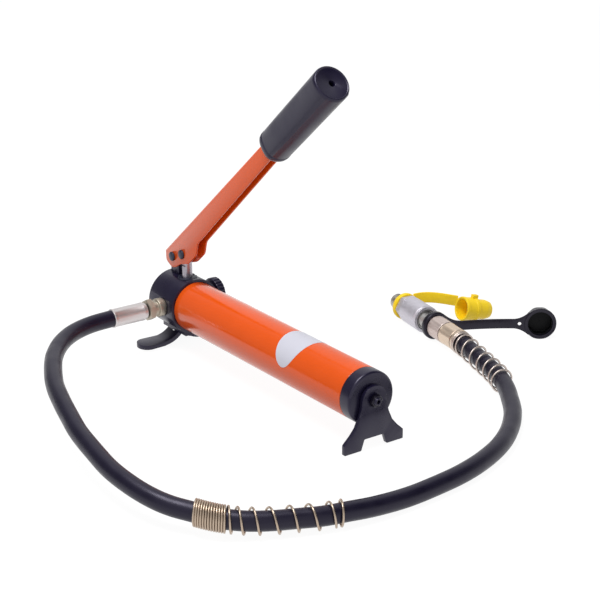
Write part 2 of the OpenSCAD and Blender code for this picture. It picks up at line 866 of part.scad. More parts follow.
module gland_nut() {
    color(bright_steel) difference() {
        union() {
            bar_z(spot_z - gland_len, spot_z, gland_d, plunger_x);
            bar_z(spot_z, spot_z + gland_flange_t, gland_flange_d, plunger_x);
        }
        bar_z(0, head_top + cut, plunger_d + 2 * run_gap, plunger_x);
        translate([plunger_x, 0, spot_z + gland_flange_t])
            cube([gland_notch, gland_flange_d + cut, gland_flange_t], center = true);
    }
}

// Outline of the pressed handle: the back edge runs straight, the front edge flares at the pins
function back_edge(u) = channel_back + (channel_end_back - channel_back) * u / channel_end;
function front_edge(u) = channel_front + (channel_end_front - channel_front) * u / channel_end;

module channel_outline(grow) {
    polygon([
        [-tail_top, back_edge(0) + grow], [-channel_tail, tail_tip], [-tail_heel, -tail_turn],
        [-chin_start, -chin_drop], [chin_stop, -channel_front],
        [flare_start, -flare_depth], [flare_stop, -flare_depth],
        [flare_neck, -front_edge(flare_neck) - grow], [channel_end + grow, -front_edge(channel_end) - grow],
        [channel_end + grow, back_edge(channel_end) + grow]
    ]);
}

// Puts a shape drawn along and across the handle in its place, centred across the pump
module on_handle() {
    translate([fulcrum_x, 0, fulcrum_z]) rotate([0, -handle_angle, 0]) rotate([90, 0, 0]) children();
}

module handle_channel() {
    inside = 2 * flare_depth;
    color(paint_orange) difference() {
        on_handle() difference() {
            translate([0, 0, -channel_w / 2]) linear_extrude(channel_w) channel_outline(0);
            translate([0, 0, -cheek_gap / 2]) linear_extrude(cheek_gap) polygon([
                [-inside, -inside], [-inside, back_edge(-inside) - sheet_t],
                [channel_end + cut, back_edge(channel_end + cut) - sheet_t], [channel_end + cut, -inside]
            ]);
        }
        for (at = [[fulcrum_x, fulcrum_z], [plunger_x, plunger_pin_z]])
            bar_y(-channel_w, channel_w, pin_d + 2 * seat_gap, at[0], at[1]);
    }
}

module handle_grip() {
    low_r = grip_low_d / 2;
    end_r = grip_end_d / 2;
    color(rubber_black) on_handle() difference() {
        translate([grip_start, grip_rise, 0]) rotate([0, 90, 0]) rotate_extrude() polygon([
            [0, 0], [low_r - grip_round, 0], [low_r - grip_nose, grip_nose], [low_r, grip_round],
            [end_r, grip_len - grip_round], [end_r, grip_len - grip_edge], [end_r - grip_edge, grip_len],
            [0, grip_len]
        ]);
        translate([0, 0, -channel_w / 2 - seat_gap]) linear_extrude(channel_w + 2 * seat_gap)
            channel_outline(seat_gap);
        translate([handle_len - hang_hole_len, grip_rise, 0]) rotate([0, 90, 0])
            cylinder(d = hang_hole_d, h = hang_hole_len + cut);
    }
}

module release_stem() {
    color(bright_steel) difference() {
        bar_y(release_stem_y0, knob_y0 + knob_hub_t, release_d, release_x);
        difference() {
            release_groove(release_d + cut);
            bar_y(0, head_r, release_d - 2 * release_groove_depth, release_x);
        }
    }
}

module release_knob() {
    rim_y = knob_y0 + knob_hub_t;
    groove_at = knob_d / 2 + knob_groove_out;
    color(satin_black) difference() {
        union() {
            bar_y(knob_y0, rim_y, knob_hub_d, release_x);
            bar_y(rim_y, knob_y1, knob_d, release_x);
        }
        bar_y(knob_y0 - cut, rim_y + seat_gap, release_d + 2 * seat_gap, release_x);
        for (k = [0:knob_grooves - 1])
            translate([release_x, 0, axis_h]) rotate([0, 360 * k / knob_grooves, 0])
                bar_y(rim_y - cut, knob_y1 + cut, knob_groove_d, groove_at, 0);
    }
}

module release_seal_ring() {
    color(rubber_black) translate([release_x, release_ring_y, axis_h]) rotate([90, 0, 0])
        seal_ring(release_d - 2 * release_groove_depth + 2 * seat_gap + release_ring_d, release_ring_d);
}

module ball(at, d) {
    translate(at) sphere(d = d);
}

module release_ball() {
    ball_y = release_seat_y + release_ball_d / 2 + release_ball_gap;
    color(bright_steel) ball([release_x, ball_y, axis_h], release_ball_d);
}

module inlet_ball() {
    color(bright_steel) ball([plunger_x, 0, inlet_seat_z + ball_on_seat], valve_ball_d);
}

module outlet_ball() {
    color(bright_steel) ball([port_x, outlet_seat_y - ball_on_seat, axis_h], valve_ball_d);
}

module outlet_spring() {
    color(bright_steel) valve_spring(
        [port_x, outlet_seat_y - ball_on_seat - valve_ball_d / 2 - face_gap, axis_h],
        [port_x, port_face_y + port_len + face_gap, axis_h],
        valve_room_d - 2 * spring_wire, outlet_spring_turns
    );
}

module relief_screw() {
    x0 = head_x0 + relief_sunk;
    color(bright_steel) difference() {
        bar_x(x0, x0 + relief_screw_len, relief_d, relief_y, relief_z);
        translate([head_x0, relief_y, relief_z]) rotate([0, 90, 0])
            cylinder(d = relief_key_af / cos(30), h = relief_screw_len / 2, $fn = 6);
    }
}

module relief_spring() {
    color(bright_steel) valve_spring(
        [head_x0 + relief_sunk + relief_screw_len + face_gap, relief_y, relief_z],
        [head_x0 + relief_depth - relief_ball_d - 2 * face_gap, relief_y, relief_z],
        relief_d - 2 * spring_wire, relief_spring_turns
    );
}

module relief_ball() {
    ball_x = head_x0 + relief_depth - relief_ball_d / 2 - face_gap;
    color(bright_steel) ball([ball_x, relief_y, relief_z], relief_ball_d);
}

module suction_tube() {
    x0 = head_x1 - suction_grip + seat_gap;
    color(bright_steel) difference() {
        bar_x(x0, head_x1 + suction_len, suction_tube_d, 0, suction_z);
        bar_x(x0 - cut, head_x1 + suction_len + cut, suction_hole_d, 0, suction_z);
    }
}

module suction_filter() {
    x0 = head_x1 + suction_len - filter_grip;
    lift = filter_d / 2 - suction_tube_d / 2 - filter_wall;
    color(bronze_plate) difference() {
        bar_x(x0, x0 + filter_len, filter_d, 0, suction_z + lift);
        bar_x(x0 - cut, head_x1 + suction_len + seat_gap, suction_tube_d + 2 * seat_gap, 0, suction_z);
    }
}

// Hose fittings on the pump, measured outwards from the port's face
function port_out(d) = port_face_y - d;

module hose_adapter() {
    color(bright_steel) difference() {
        union() {
            bar_y(port_out(0), port_out(-port_len) - seat_gap, port_d, port_x);
            bar_y(port_out(adapter_collar_len), port_out(0), adapter_collar_d, port_x);
            bar_y(port_out(adapter_len), port_out(adapter_collar_len), adapter_neck_d, port_x);
        }
        bar_y(port_out(adapter_len + cut), port_out(-port_len - cut), adapter_bore_d, port_x);
    }
}

module hose_nut() {
    neck_end = adapter_len + face_gap;
    color(bright_steel) difference() {
        nut_y(port_out(hose_nut_at + hose_nut_len), port_out(hose_nut_at), hose_nut_af, port_x);
        bar_y(port_out(neck_end), port_out(hose_nut_at - cut), adapter_neck_d + 2 * seat_gap, port_x);
        bar_y(
            port_out(hose_nut_at + hose_nut_len + cut), port_out(hose_nut_at),
            ferrule_tail_d + 2 * seat_gap, port_x
        );
    }
}

module pump_ferrule() {
    tail_start = adapter_len + 2 * face_gap;
    ring_start = ferrule_at - ferrule_ring_len;
    color(bright_steel) difference() {
        union() {
            bar_y(port_out(ferrule_at), port_out(tail_start), ferrule_tail_d, port_x);
            bar_y(port_out(ferrule_at), port_out(ring_start), ferrule_ring_d, port_x);
            bar_y(hose_exit_y, port_out(ferrule_at), ferrule_d, port_x);
        }
        bar_y(hose_exit_y - cut, hose_exit_y + ferrule_grip + seat_gap, hose_d + 2 * seat_gap, port_x);
        bar_y(hose_exit_y, port_out(0), adapter_bore_d, port_x);
    }
}

module hose() {
    color(rubber_black) ring_solid([
        for (i = [0:len(hose_path) - 1])
        let (h = heading(hose_path, i), side = across(h))
        circle_at(hose_path[i], side, cross(side, h), hose_d / 2, hose_sides)
    ]);
}

module mid_spring_guard() {
    color(bronze_plate) guard(mid_guard_d, mid_guard_lift, mid_guard_from, 1, mid_guard_close, mid_guard_open);
}

module end_spring_guard() {
    color(bronze_plate) guard(end_guard_d, end_guard_lift, end_guard_from, -1, end_guard_close, end_guard_open);
}

// Coupler pieces are drawn along Z from the collar's face, towards the hose
module at_coupler() {
    translate([coupler_x, coupler_y, coupler_h]) rotate([0, 0, coupler_turn]) rotate([0, 90, 0]) children();
}

module disc(w0, w1, d) {
    translate([0, 0, w0]) cylinder(d = d, h = w1 - w0);
}

module hexagon(w0, w1, af) {
    translate([0, 0, w0]) rotate([0, 0, 30]) cylinder(d = af / cos(30), h = w1 - w0, $fn = 6);
}

module coupler_ferrule() {
    color(bronze_plate) at_coupler() difference() {
        union() {
            disc(nipple_shank_end + 2 * face_gap, coupler_ferrule_at, ferrule_tail_d);
            disc(coupler_ferrule_at, coupler_end, coupler_ferrule_d);
        }
        disc(coupler_end - coupler_ferrule_grip - seat_gap, coupler_end + cut, hose_d + 2 * seat_gap);
        disc(0, coupler_end, adapter_bore_d);
    }
}

module coupler_nut() {
    color(bronze_plate) at_coupler() difference() {
        hexagon(coupler_nut_at, coupler_ferrule_at - face_gap, coupler_nut_af);
        disc(0, nipple_shank_end + face_gap, nipple_shank_d + 2 * seat_gap);
        disc(0, coupler_end, ferrule_tail_d + 2 * seat_gap);
    }
}

module coupler_nipple() {
    color(bright_steel) at_coupler() difference() {
        union() {
            disc(nipple_start, nipple_thread_start, nipple_d);
            disc(nipple_thread_start, black_ring_at, nipple_thread_d);
            disc(black_ring_at, coupler_nut_at - face_gap, nipple_d);
            disc(coupler_nut_at - face_gap, nipple_shank_end, nipple_shank_d);
        }
        disc(nipple_start - cut, nipple_shank_end + cut, coupler_seat_d);
        disc(nipple_seat, nipple_shank_end + cut, nipple_bore_d);
    }
}

module coupler_collar() {
    color(bright_steel) at_coupler() difference() {
        disc(-collar_len, 0, collar_d);
        disc(-collar_len - cut, cut, barrel_d + 2 * run_gap);
        disc(-collar_mouth_len, cut, collar_mouth_d);
    }
}

module coupler_socket() {
    color(bright_steel) at_coupler() difference() {
        union() {
            disc(neck_start - pipe_len, hex_end, pipe_d);
            disc(neck_start, hex_end, strap_neck_d);
            hexagon(hex_start, hex_end, socket_af);
            disc(hex_start, -barrel_back, barrel_d);
        }
        disc(neck_start - pipe_len - cut, socket_seat, socket_hole_d);
        disc(socket_seat - cut, -barrel_back, coupler_seat_d);
        disc(nipple_start - face_gap, cut, nipple_fit_d);
        disc(nipple_thread_start - cut, cut, nipple_thread_d + cut);
    }
}

module coupler_balls() {
    color(bright_steel) at_coupler() {
        ball([0, 0, nipple_seat + coupler_ball_back], coupler_ball_d);
        ball([0, 0, socket_seat - coupler_ball_back], coupler_ball_d);
    }
}

// Straps stand on edge between a ring on the coupler and the cap that it carries
module strap(a, b) {
    run = b - a;
    translate(a) rotate([0, -asin(run[2] / norm(run)), atan2(run[1], run[0])])
        translate([0, -strap_t / 2, -strap_w / 2]) cube([norm(run), strap_t, strap_w]);
}

function coupler_side(w, r) = coupler_point(w) + r * [-sin(coupler_turn), cos(coupler_turn), 0];

// A cup lying on its side: its open end is at x, y, it points the given way and is tilted upwards
module lying_cup(x, y, z, turn, tilt = 0) {
    translate([x, y, z]) rotate([0, 0, turn]) rotate([0, -90 - tilt, 0]) children();
}

// Where a strap meets the rim of its cup
function cup_rim(x, y, z, turn, r, back) =
    [x + r * sin(turn) - back * cos(turn), y - r * cos(turn) - back * sin(turn), z];

module black_dust_cap() {
    cup_h = black_cup_d / 2 + floor_gap;
    ring_w0 = black_ring_at + face_gap;
    ring_w1 = black_ring_at + black_ring_len;
    ring_side = coupler_side((ring_w0 + ring_w1) / 2, black_ring_d / 2 - strap_ring_wall / 2);
    start = ring_side - [0, 0, black_strap_drop];
    rim_r = black_cup_d / 2 - strap_root;
    stop = cup_rim(black_cup_x, black_cup_y, cup_h, black_cup_turn, rim_r, strap_set_back);
    color(rubber_black) difference() {
        union() {
            at_coupler() disc(ring_w0, ring_w1, black_ring_d);
            strap(start, stop);
            lying_cup(black_cup_x, black_cup_y, cup_h, black_cup_turn)
                cylinder(d = black_cup_d, h = black_cup_len);
        }
        at_coupler() disc(ring_w0 - cut, ring_w1 + cut, nipple_d + 2 * seat_gap);
        lying_cup(black_cup_x, black_cup_y, cup_h, black_cup_turn)
            disc(-cut, black_cup_len - black_cup_floor, black_cup_bore);
        translate(start + (stop - start) * strap_hole_at)
            rotate([90, 0, atan2(stop[1] - start[1], stop[0] - start[0])])
                cylinder(d = strap_hole_d, h = 2 * strap_t, center = true);
    }
}

module yellow_dust_cap() {
    cup_h = yellow_body_len * sin(yellow_cup_tilt) + yellow_cup_d / 2 * cos(yellow_cup_tilt) + floor_gap;
    ring_w0 = neck_start + yellow_ring_inset;
    ring_w1 = hex_start - face_gap;
    start = coupler_side((ring_w0 + ring_w1) / 2, yellow_strap_out) + [0, 0, yellow_strap_rise];
    rim_r = sqrt(pow(yellow_cup_d / 2 - strap_root, 2) - pow(yellow_strap_end_rise, 2));
    stop_h = cup_h + yellow_strap_end_rise;
    stop = cup_rim(yellow_cup_x, yellow_cup_y, stop_h, yellow_cup_turn, rim_r, strap_set_back);
    dome_r = yellow_cup_d / 2 - dome_step;
    dome_ball_r = dome_r * dome_flatness;
    color(cap_yellow) difference() {
        union() {
            at_coupler() disc(ring_w0, ring_w1, yellow_ring_d);
            strap(start, stop);
            lying_cup(yellow_cup_x, yellow_cup_y, cup_h, yellow_cup_turn, yellow_cup_tilt) {
                cylinder(d = yellow_cup_d, h = yellow_body_len);
                translate([0, -lug_w / 2, yellow_body_len - lug_len])
                    cube([yellow_cup_d / 2 + lug_h, lug_w, lug_len]);
                intersection() {
                    translate([0, 0, yellow_cup_len - dome_ball_r]) sphere(r = dome_ball_r);
                    cylinder(r = dome_r, h = yellow_cup_len);
                }
            }
        }
        at_coupler() disc(ring_w0 - cut, ring_w1 + cut, strap_neck_d + 2 * seat_gap);
        lying_cup(yellow_cup_x, yellow_cup_y, cup_h, yellow_cup_turn, yellow_cup_tilt)
            disc(-cut, yellow_cup_depth, yellow_cup_d - 2 * yellow_cup_wall);
    }
}

pump_head();
reservoir_tube();
end_cap();
tie_rod();
tie_rod_nut();
head_seal_ring();
cap_seal_ring();
front_foot();
rear_foot();
rear_foot_screws();
fulcrum_link();
link_pin();
fulcrum_pin();
plunger_pin();
pin_clips();
plunger();
plunger_seal();
gland_nut();
handle_channel();
handle_grip();
release_stem();
release_knob();
release_seal_ring();
release_ball();
inlet_ball();
outlet_ball();
outlet_spring();
relief_screw();
relief_spring();
relief_ball();
suction_tube();
suction_filter();
hose_adapter();
hose_nut();
pump_ferrule();
hose();
mid_spring_guard();
end_spring_guard();
coupler_ferrule();
coupler_nut();
coupler_nipple();
coupler_collar();
coupler_socket();
coupler_balls();
black_dust_cap();
yellow_dust_cap();
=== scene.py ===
import math

import bmesh
import bpy
from mathutils import Matrix, Vector


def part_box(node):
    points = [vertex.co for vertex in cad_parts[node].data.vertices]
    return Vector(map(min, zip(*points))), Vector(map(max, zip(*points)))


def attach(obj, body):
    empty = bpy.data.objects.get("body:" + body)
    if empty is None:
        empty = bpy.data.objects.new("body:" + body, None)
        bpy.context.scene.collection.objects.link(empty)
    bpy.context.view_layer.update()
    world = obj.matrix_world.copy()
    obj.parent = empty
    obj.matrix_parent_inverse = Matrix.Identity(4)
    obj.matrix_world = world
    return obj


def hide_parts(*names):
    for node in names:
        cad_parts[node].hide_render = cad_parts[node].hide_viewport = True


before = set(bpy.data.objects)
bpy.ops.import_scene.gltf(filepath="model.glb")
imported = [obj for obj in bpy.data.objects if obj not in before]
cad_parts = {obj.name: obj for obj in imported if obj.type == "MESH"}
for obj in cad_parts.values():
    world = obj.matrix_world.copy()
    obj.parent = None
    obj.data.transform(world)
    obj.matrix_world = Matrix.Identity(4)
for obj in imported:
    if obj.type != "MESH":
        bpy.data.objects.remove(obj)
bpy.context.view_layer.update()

# Sizes are in millimetres, and MM turns them into metres. The floor, lamp and camera reach are in metres
MM = 0.001
UP = Vector((0, 0, 1))


# Studio
CAMERA_AT = (1304.3, -909.1, 682.8)
CAMERA_LOOK = (-0.7582, 0.5515, -0.3479)
CAMERA_LENS = 104.5
CAMERA_SENSOR = 36
CAMERA_REACH = 50
FLOOR_SIZE = 30
FLOOR_CENTRE = (-1.2, 0.9, -0.0004)
FLOOR_WHITE = (0.9, 0.9, 0.9, 1)
FLOOR_GLOW_SHARE = 0.86
FLOOR_SEEN = 1.08
FLOOR_LIGHT = 0.56
SKY_WHITE = (1, 1, 1, 1)
SKY_SEEN = 1.0
SKY_LIGHT = 0.6
SKY_GLEAM = 0.82
LOW_DARK_SIDE = (-0.76, -0.58, 0.30)
LOW_SIDE_FADE = (0.55, 0.93)
LOW_SIDE_GLEAM = 0.25
HIGH_DARK_SIDE = (0.45, 0.55, 0.70)
HIGH_SIDE_FADE = (0.7, 0.93)
HIGH_SIDE_SHARE = 0.06
LAMP_AT = (0.0, -0.4, 1.55)
LAMP_SIZE = 0.9
LAMP_POWER = 18


def new_node(tree, kind, **settings):
    node = tree.nodes.new(kind)
    for key, value in settings.items():
        setattr(node, key, value)
    return node


def set_camera():
    data = bpy.data.cameras.new("camera")
    data.lens = CAMERA_LENS
    data.sensor_width = CAMERA_SENSOR
    data.clip_end = CAMERA_REACH
    camera = bpy.data.objects.new("camera", data)
    look = Vector(CAMERA_LOOK).to_track_quat("-Z", "Y")
    camera.matrix_world = Matrix.Translation(Vector(CAMERA_AT) * MM) @ look.to_matrix().to_4x4()
    bpy.context.scene.collection.objects.link(camera)
    bpy.context.scene.camera = camera


def mirror_ray(tree, ray):
    """A switch that is on for rays that come off or through a shiny surface."""
    either = new_node(tree, "ShaderNodeMath", operation="ADD", use_clamp=True)
    tree.links.new(ray.outputs["Is Glossy Ray"], either.inputs[0])
    tree.links.new(ray.outputs["Is Transmission Ray"], either.inputs[1])
    return either.outputs["Value"]


def dimmed(tree, way, dark_side, fade, most, least):
    """A strength that falls off towards a dark side of the sky."""
    side = new_node(tree, "ShaderNodeVectorMath", operation="DOT_PRODUCT")
    side.inputs[1].default_value = dark_side
    tree.links.new(way.outputs["Generated"], side.inputs[0])
    dim = new_node(tree, "ShaderNodeMapRange", interpolation_type="SMOOTHSTEP")
    dim.inputs["From Min"].default_value = fade[0]
    dim.inputs["From Max"].default_value = fade[1]
    dim.inputs["To Min"].default_value = most
    dim.inputs["To Max"].default_value = least
    tree.links.new(side.outputs["Value"], dim.inputs["Value"])
    return dim.outputs["Result"]


def set_sky():
    """White to the camera, softer as light, and dim on two sides so that curved faces keep their colour."""
    world = bpy.data.worlds.new("studio")
    world.use_nodes = True
    bpy.context.scene.world = world
    tree = world.node_tree
    tree.nodes.clear()
    way = new_node(tree, "ShaderNodeTexCoord")
    low = dimmed(tree, way, LOW_DARK_SIDE, LOW_SIDE_FADE, SKY_GLEAM, LOW_SIDE_GLEAM)
    high = dimmed(tree, way, HIGH_DARK_SIDE, HIGH_SIDE_FADE, 1, HIGH_SIDE_SHARE)
    gleam = new_node(tree, "ShaderNodeMath", operation="MULTIPLY")
    tree.links.new(low, gleam.inputs[0])
    tree.links.new(high, gleam.inputs[1])
    ray = new_node(tree, "ShaderNodeLightPath")
    unseen = new_node(tree, "ShaderNodeMix", data_type="FLOAT")
    unseen.inputs["A"].default_value = SKY_LIGHT
    tree.links.new(mirror_ray(tree, ray), unseen.inputs["Factor"])
    tree.links.new(gleam.outputs["Value"], unseen.inputs["B"])
    strength = new_node(tree, "ShaderNodeMix", data_type="FLOAT")
    strength.inputs["B"].default_value = SKY_SEEN
    tree.links.new(ray.outputs["Is Camera Ray"], strength.inputs["Factor"])
    tree.links.new(unseen.outputs["Result"], strength.inputs["A"])
    sky = new_node(tree, "ShaderNodeBackground")
    sky.inputs["Color"].default_value = SKY_WHITE
    tree.links.new(strength.outputs["Result"], sky.inputs["Strength"])
    out = new_node(tree, "ShaderNodeOutputWorld")
    tree.links.new(sky.outputs["Background"], out.inputs["Surface"])


def set_lamp():
    """A round overhead lamp that points at the origin."""
    data = bpy.data.lights.new("overhead_lamp", "AREA")
    data.shape = "DISK"
    data.size = LAMP_SIZE
    data.energy = LAMP_POWER
    lamp = bpy.data.objects.new("overhead_lamp", data)
    place = Vector(LAMP_AT)
    turn = (-place).to_track_quat("-Z", "Y")
    lamp.matrix_world = Matrix.Translation(place) @ turn.to_matrix().to_4x4()
    bpy.context.scene.collection.objects.link(lamp)


def floor_finish():
    """Matt white that glows: brightly where it is seen or mirrored, and less as light on the pump."""
    white = bpy.data.materials.new("floor_white")
    white.use_nodes = True
    tree = white.node_tree
    tree.nodes.clear()
    matt = new_node(tree, "ShaderNodeBsdfDiffuse")
    matt.inputs["Color"].default_value = FLOOR_WHITE
    ray = new_node(tree, "ShaderNodeLightPath")
    seen = new_node(tree, "ShaderNodeMath", operation="ADD", use_clamp=True)
    tree.links.new(ray.outputs["Is Camera Ray"], seen.inputs[0])
    tree.links.new(mirror_ray(tree, ray), seen.inputs[1])
    strength = new_node(tree, "ShaderNodeMix", data_type="FLOAT")
    strength.inputs["A"].default_value = FLOOR_LIGHT
    strength.inputs["B"].default_value = FLOOR_SEEN
    tree.links.new(seen.outputs["Value"], strength.inputs["Factor"])
    glow = new_node(tree, "ShaderNodeEmission")
    tree.links.new(strength.outputs["Result"], glow.inputs["Strength"])
    mix = new_node(tree, "ShaderNodeMixShader")
    mix.inputs["Fac"].default_value = FLOOR_GLOW_SHARE
    out = new_node(tree, "ShaderNodeOutputMaterial")
    tree.links.new(matt.outputs["BSDF"], mix.inputs[1])
    tree.links.new(glow.outputs["Emission"], mix.inputs[2])
    tree.links.new(mix.outputs["Shader"], out.inputs["Surface"])
    return white


def set_floor():
    bm = bmesh.new()
    bmesh.ops.create_grid(bm, x_segments=1, y_segments=1, size=FLOOR_SIZE / 2)
    bmesh.ops.translate(bm, verts=bm.verts, vec=FLOOR_CENTRE)
    mesh = bpy.data.meshes.new("floor")
    bm.to_mesh(mesh)
    bm.free()
    mesh.materials.append(floor_finish())
    floor = bpy.data.objects.new("floor", mesh)
    bpy.context.scene.collection.objects.link(floor)


set_camera()
set_sky()
set_floor()
set_lamp()
bpy.context.scene.view_settings.view_transform = "Standard"


# Finishes
BLOTCH_DETAIL = 4.0
BLOTCH_SPREAD = (0.3, 0.7)
GRAIN_DETAIL = 3.0
GRAIN_STRENGTH = 0.5


def finish(
    name, colour, roughness, metallic=0.0, shade=0.85, mottle=60.0, grain=900.0, grain_depth=0.00004,
    streak=(1, 1, 1), turn=0.0, uneven=0.06, specular=0.5, gleam=(1, 1, 1),
):
    """A surface of one colour that is mottled a little, uneven in its gloss, and grained or streaked."""
    made = bpy.data.materials.new(name)
    made.use_nodes = True
    tree = made.node_tree
    surface = tree.nodes["Principled BSDF"]
    surface.inputs["Metallic"].default_value = metallic
    surface.inputs["Specular IOR Level"].default_value = specular
    surface.inputs["Specular Tint"].default_value = list(gleam) + [1]
    place = new_node(tree, "ShaderNodeTexCoord")
    stretch = new_node(tree, "ShaderNodeMapping", vector_type="TEXTURE")
    stretch.inputs["Rotation"].default_value = (0, 0, math.radians(turn))
    stretch.inputs["Scale"].default_value = [1 / share for share in streak]
    tree.links.new(place.outputs["Object"], stretch.inputs["Vector"])

    blotch = new_node(tree, "ShaderNodeTexNoise")
    blotch.inputs["Scale"].default_value = mottle
    blotch.inputs["Detail"].default_value = BLOTCH_DETAIL
    tree.links.new(stretch.outputs["Vector"], blotch.inputs["Vector"])
    tint = new_node(tree, "ShaderNodeMix", data_type="RGBA")
    tint.inputs["A"].default_value = [c * shade for c in colour] + [1]
    tint.inputs["B"].default_value = list(colour) + [1]
    tree.links.new(blotch.outputs["Fac"], tint.inputs["Factor"])
    tree.links.new(tint.outputs["Result"], surface.inputs["Base Color"])

    gloss = new_node(tree, "ShaderNodeMapRange")
    gloss.inputs["From Min"].default_value = BLOTCH_SPREAD[0]
    gloss.inputs["From Max"].default_value = BLOTCH_SPREAD[1]
    gloss.inputs["To Min"].default_value = roughness - uneven
    gloss.inputs["To Max"].default_value = roughness + uneven
    tree.links.new(blotch.outputs["Fac"], gloss.inputs["Value"])
    tree.links.new(gloss.outputs["Result"], surface.inputs["Roughness"])

    fine = new_node(tree, "ShaderNodeTexNoise")
    fine.inputs["Scale"].default_value = grain
    fine.inputs["Detail"].default_value = GRAIN_DETAIL
    tree.links.new(stretch.outputs["Vector"], fine.inputs["Vector"])
    bump = new_node(tree, "ShaderNodeBump")
    bump.inputs["Strength"].default_value = GRAIN_STRENGTH
    bump.inputs["Distance"].default_value = grain_depth
    tree.links.new(fine.outputs["Fac"], bump.inputs["Height"])
    tree.links.new(bump.outputs["Normal"], surface.inputs["Normal"])
    return made


COLD_GLEAM = (0.85, 0.81, 1)
orange = finish(
    "orange_paint", (0.77, 0.091, 0.004), 0.18, shade=0.94, grain=700, grain_depth=0.00003, uneven=0.03,
    specular=0.45,
)
black_coat = finish("black_coat", (0.008, 0.006, 0.023), 0.30, grain=1500, specular=0.55, gleam=COLD_GLEAM)
dark_steel = finish("dark_steel", (0.030, 0.034, 0.060), 0.4, metallic=0.3)
steel = finish("steel", (0.48, 0.45, 0.50), 0.42, metallic=1.0, streak=(6, 6, 0.3), grain=300)
inner_steel = finish("inner_steel", (0.55, 0.54, 0.53), 0.36, metallic=1.0)
nickel = finish("nickel_plate", (0.50, 0.45, 0.37), 0.42, metallic=0.85, streak=(1, 5, 1))
silver = finish("silver_plate", (0.73, 0.69, 0.69), 0.40, metallic=0.85, streak=(4, 0.3, 4), grain=400)
bronze = finish("bronze_plate", (0.82, 0.67, 0.53), 0.42, metallic=0.85, streak=(0.4, 5, 5), turn=-10)
pink_steel = finish("pink_steel", (0.74, 0.63, 0.59), 0.5, metallic=0.75, streak=(0.4, 5, 5), turn=-10)
# One kind of guard wire in two copies: darker and more golden for the mid guard as painted shade, and paler
# for the end guard as painted light
guard_wire_shaded = finish("guard_wire_painted_shade", (0.54, 0.43, 0.335), 0.32, metallic=0.95)
guard_wire_lit = finish("guard_wire_painted_light", (0.66, 0.57, 0.52), 0.36, metallic=0.9)
collar_silver = finish("collar_silver", (0.72, 0.70, 0.77), 0.48, metallic=0.75, mottle=250, shade=0.8)
rubber = finish(
    "hose_rubber", (0.006, 0.0045, 0.017), 0.36, grain=1200, grain_depth=0.00008, specular=0.43,
    gleam=COLD_GLEAM,
)
grip_rubber = finish("grip_rubber", (0.007, 0.005, 0.022), 0.33, grain=1600, specular=0.5, gleam=COLD_GLEAM)
cap_rubber = finish("cap_rubber", (0.004, 0.003, 0.008), 0.32, specular=0.45, gleam=COLD_GLEAM)
# Darker and less shiny than the cap's rubber: painted shade for the inside of the black cup
cup_painted_shade = finish("cup_painted_shade", (0.003, 0.003, 0.004), 0.5, specular=0.15)
yellow = finish("yellow_plastic", (0.98, 0.69, 0.012), 0.42, shade=0.97, specular=0.4)
label_white = finish("label_white", (0.60, 0.60, 0.68), 0.4, shade=0.97, specular=0.35)

SLOT_FINISH = {
    "orange_paint": orange, "black_coat": black_coat, "steel": inner_steel, "bronze_plate": bronze,
    "black_rubber": rubber, "black_grip": grip_rubber, "yellow_plastic": yellow,
}


# Places: each turns a shape drawn along its own Z axis into the pump's frame
def at(x, y, z):
    return Matrix.Translation(Vector((x, y, z)))


def turned(degrees, axis):
    return Matrix.Rotation(math.radians(degrees), 4, axis)


AXIS_H = 47
FULCRUM = (-162.7, 0, 94.2)
PLUNGER_PIN = (-144.5, 0, 101.2)
ALONG_PUMP = at(0, 0, AXIS_H) @ turned(90, "Y")
PORT = at(-150, -27.5, AXIS_H) @ turned(90, "X")
RELEASE = at(-155, 0, AXIS_H) @ turned(-90, "X")
HANDLE = at(*FULCRUM) @ turned(-41, "Y") @ turned(90, "X")
COUPLER = at(-22, 223, 15.05) @ turned(-10, "Z") @ turned(90, "Y")
FOOT = turned(90, "Z") @ turned(90, "X")


# Shapes
CORNER_SHARE = 0.45
NUT_SHOULDER = 0.985
NUT_CHAMFER = 30
NUT_RIM = 0.25
NUT_POINTS = 96
PLATE_CORNER = 50
CAD_CORNER = 40


def eased(points, radius, steps=3, closed=False):
    """The same outline with each corner rounded off."""
    line = [Vector(p) for p in points]
    trios = list(zip(line, line[1:], line[2:]))
    if closed:
        trios = list(zip(line[-1:] + line[:-1], line, line[1:] + line[:1]))
    out = []
    for before, corner, after in trios:
        reach = min(radius, CORNER_SHARE * (before - corner).length, CORNER_SHARE * (after - corner).length)
        a = corner + (before - corner).normalized() * reach
        b = corner + (after - corner).normalized() * reach
        for k in range(steps + 1):
            f = k / steps
            out.append(a.lerp(corner, f).lerp(corner.lerp(b, f), f))
    return out if closed else [line[0]] + out + [line[-1]]


def lathe(profile, steps=64, ring=False):
    """A turned shape: radius and height points spun about the Z axis. A ring's profile closes on itself."""
    bm = bmesh.new()
    verts = [bm.verts.new((r, 0, h)) for r, h in profile]
    edges = [bm.edges.new(pair) for pair in zip(verts, verts[1:])]
    if ring:
        edges.append(bm.edges.new((verts[-1], verts[0])))
    bmesh.ops.spin(
        bm, geom=verts + edges, cent=(0, 0, 0), axis=(0, 0, 1), angle=math.tau, steps=steps, use_merge=True
    )
    bmesh.ops.remove_doubles(bm, verts=bm.verts, dist=1e-4)
    bmesh.ops.recalc_face_normals(bm, faces=bm.faces)
    return bm


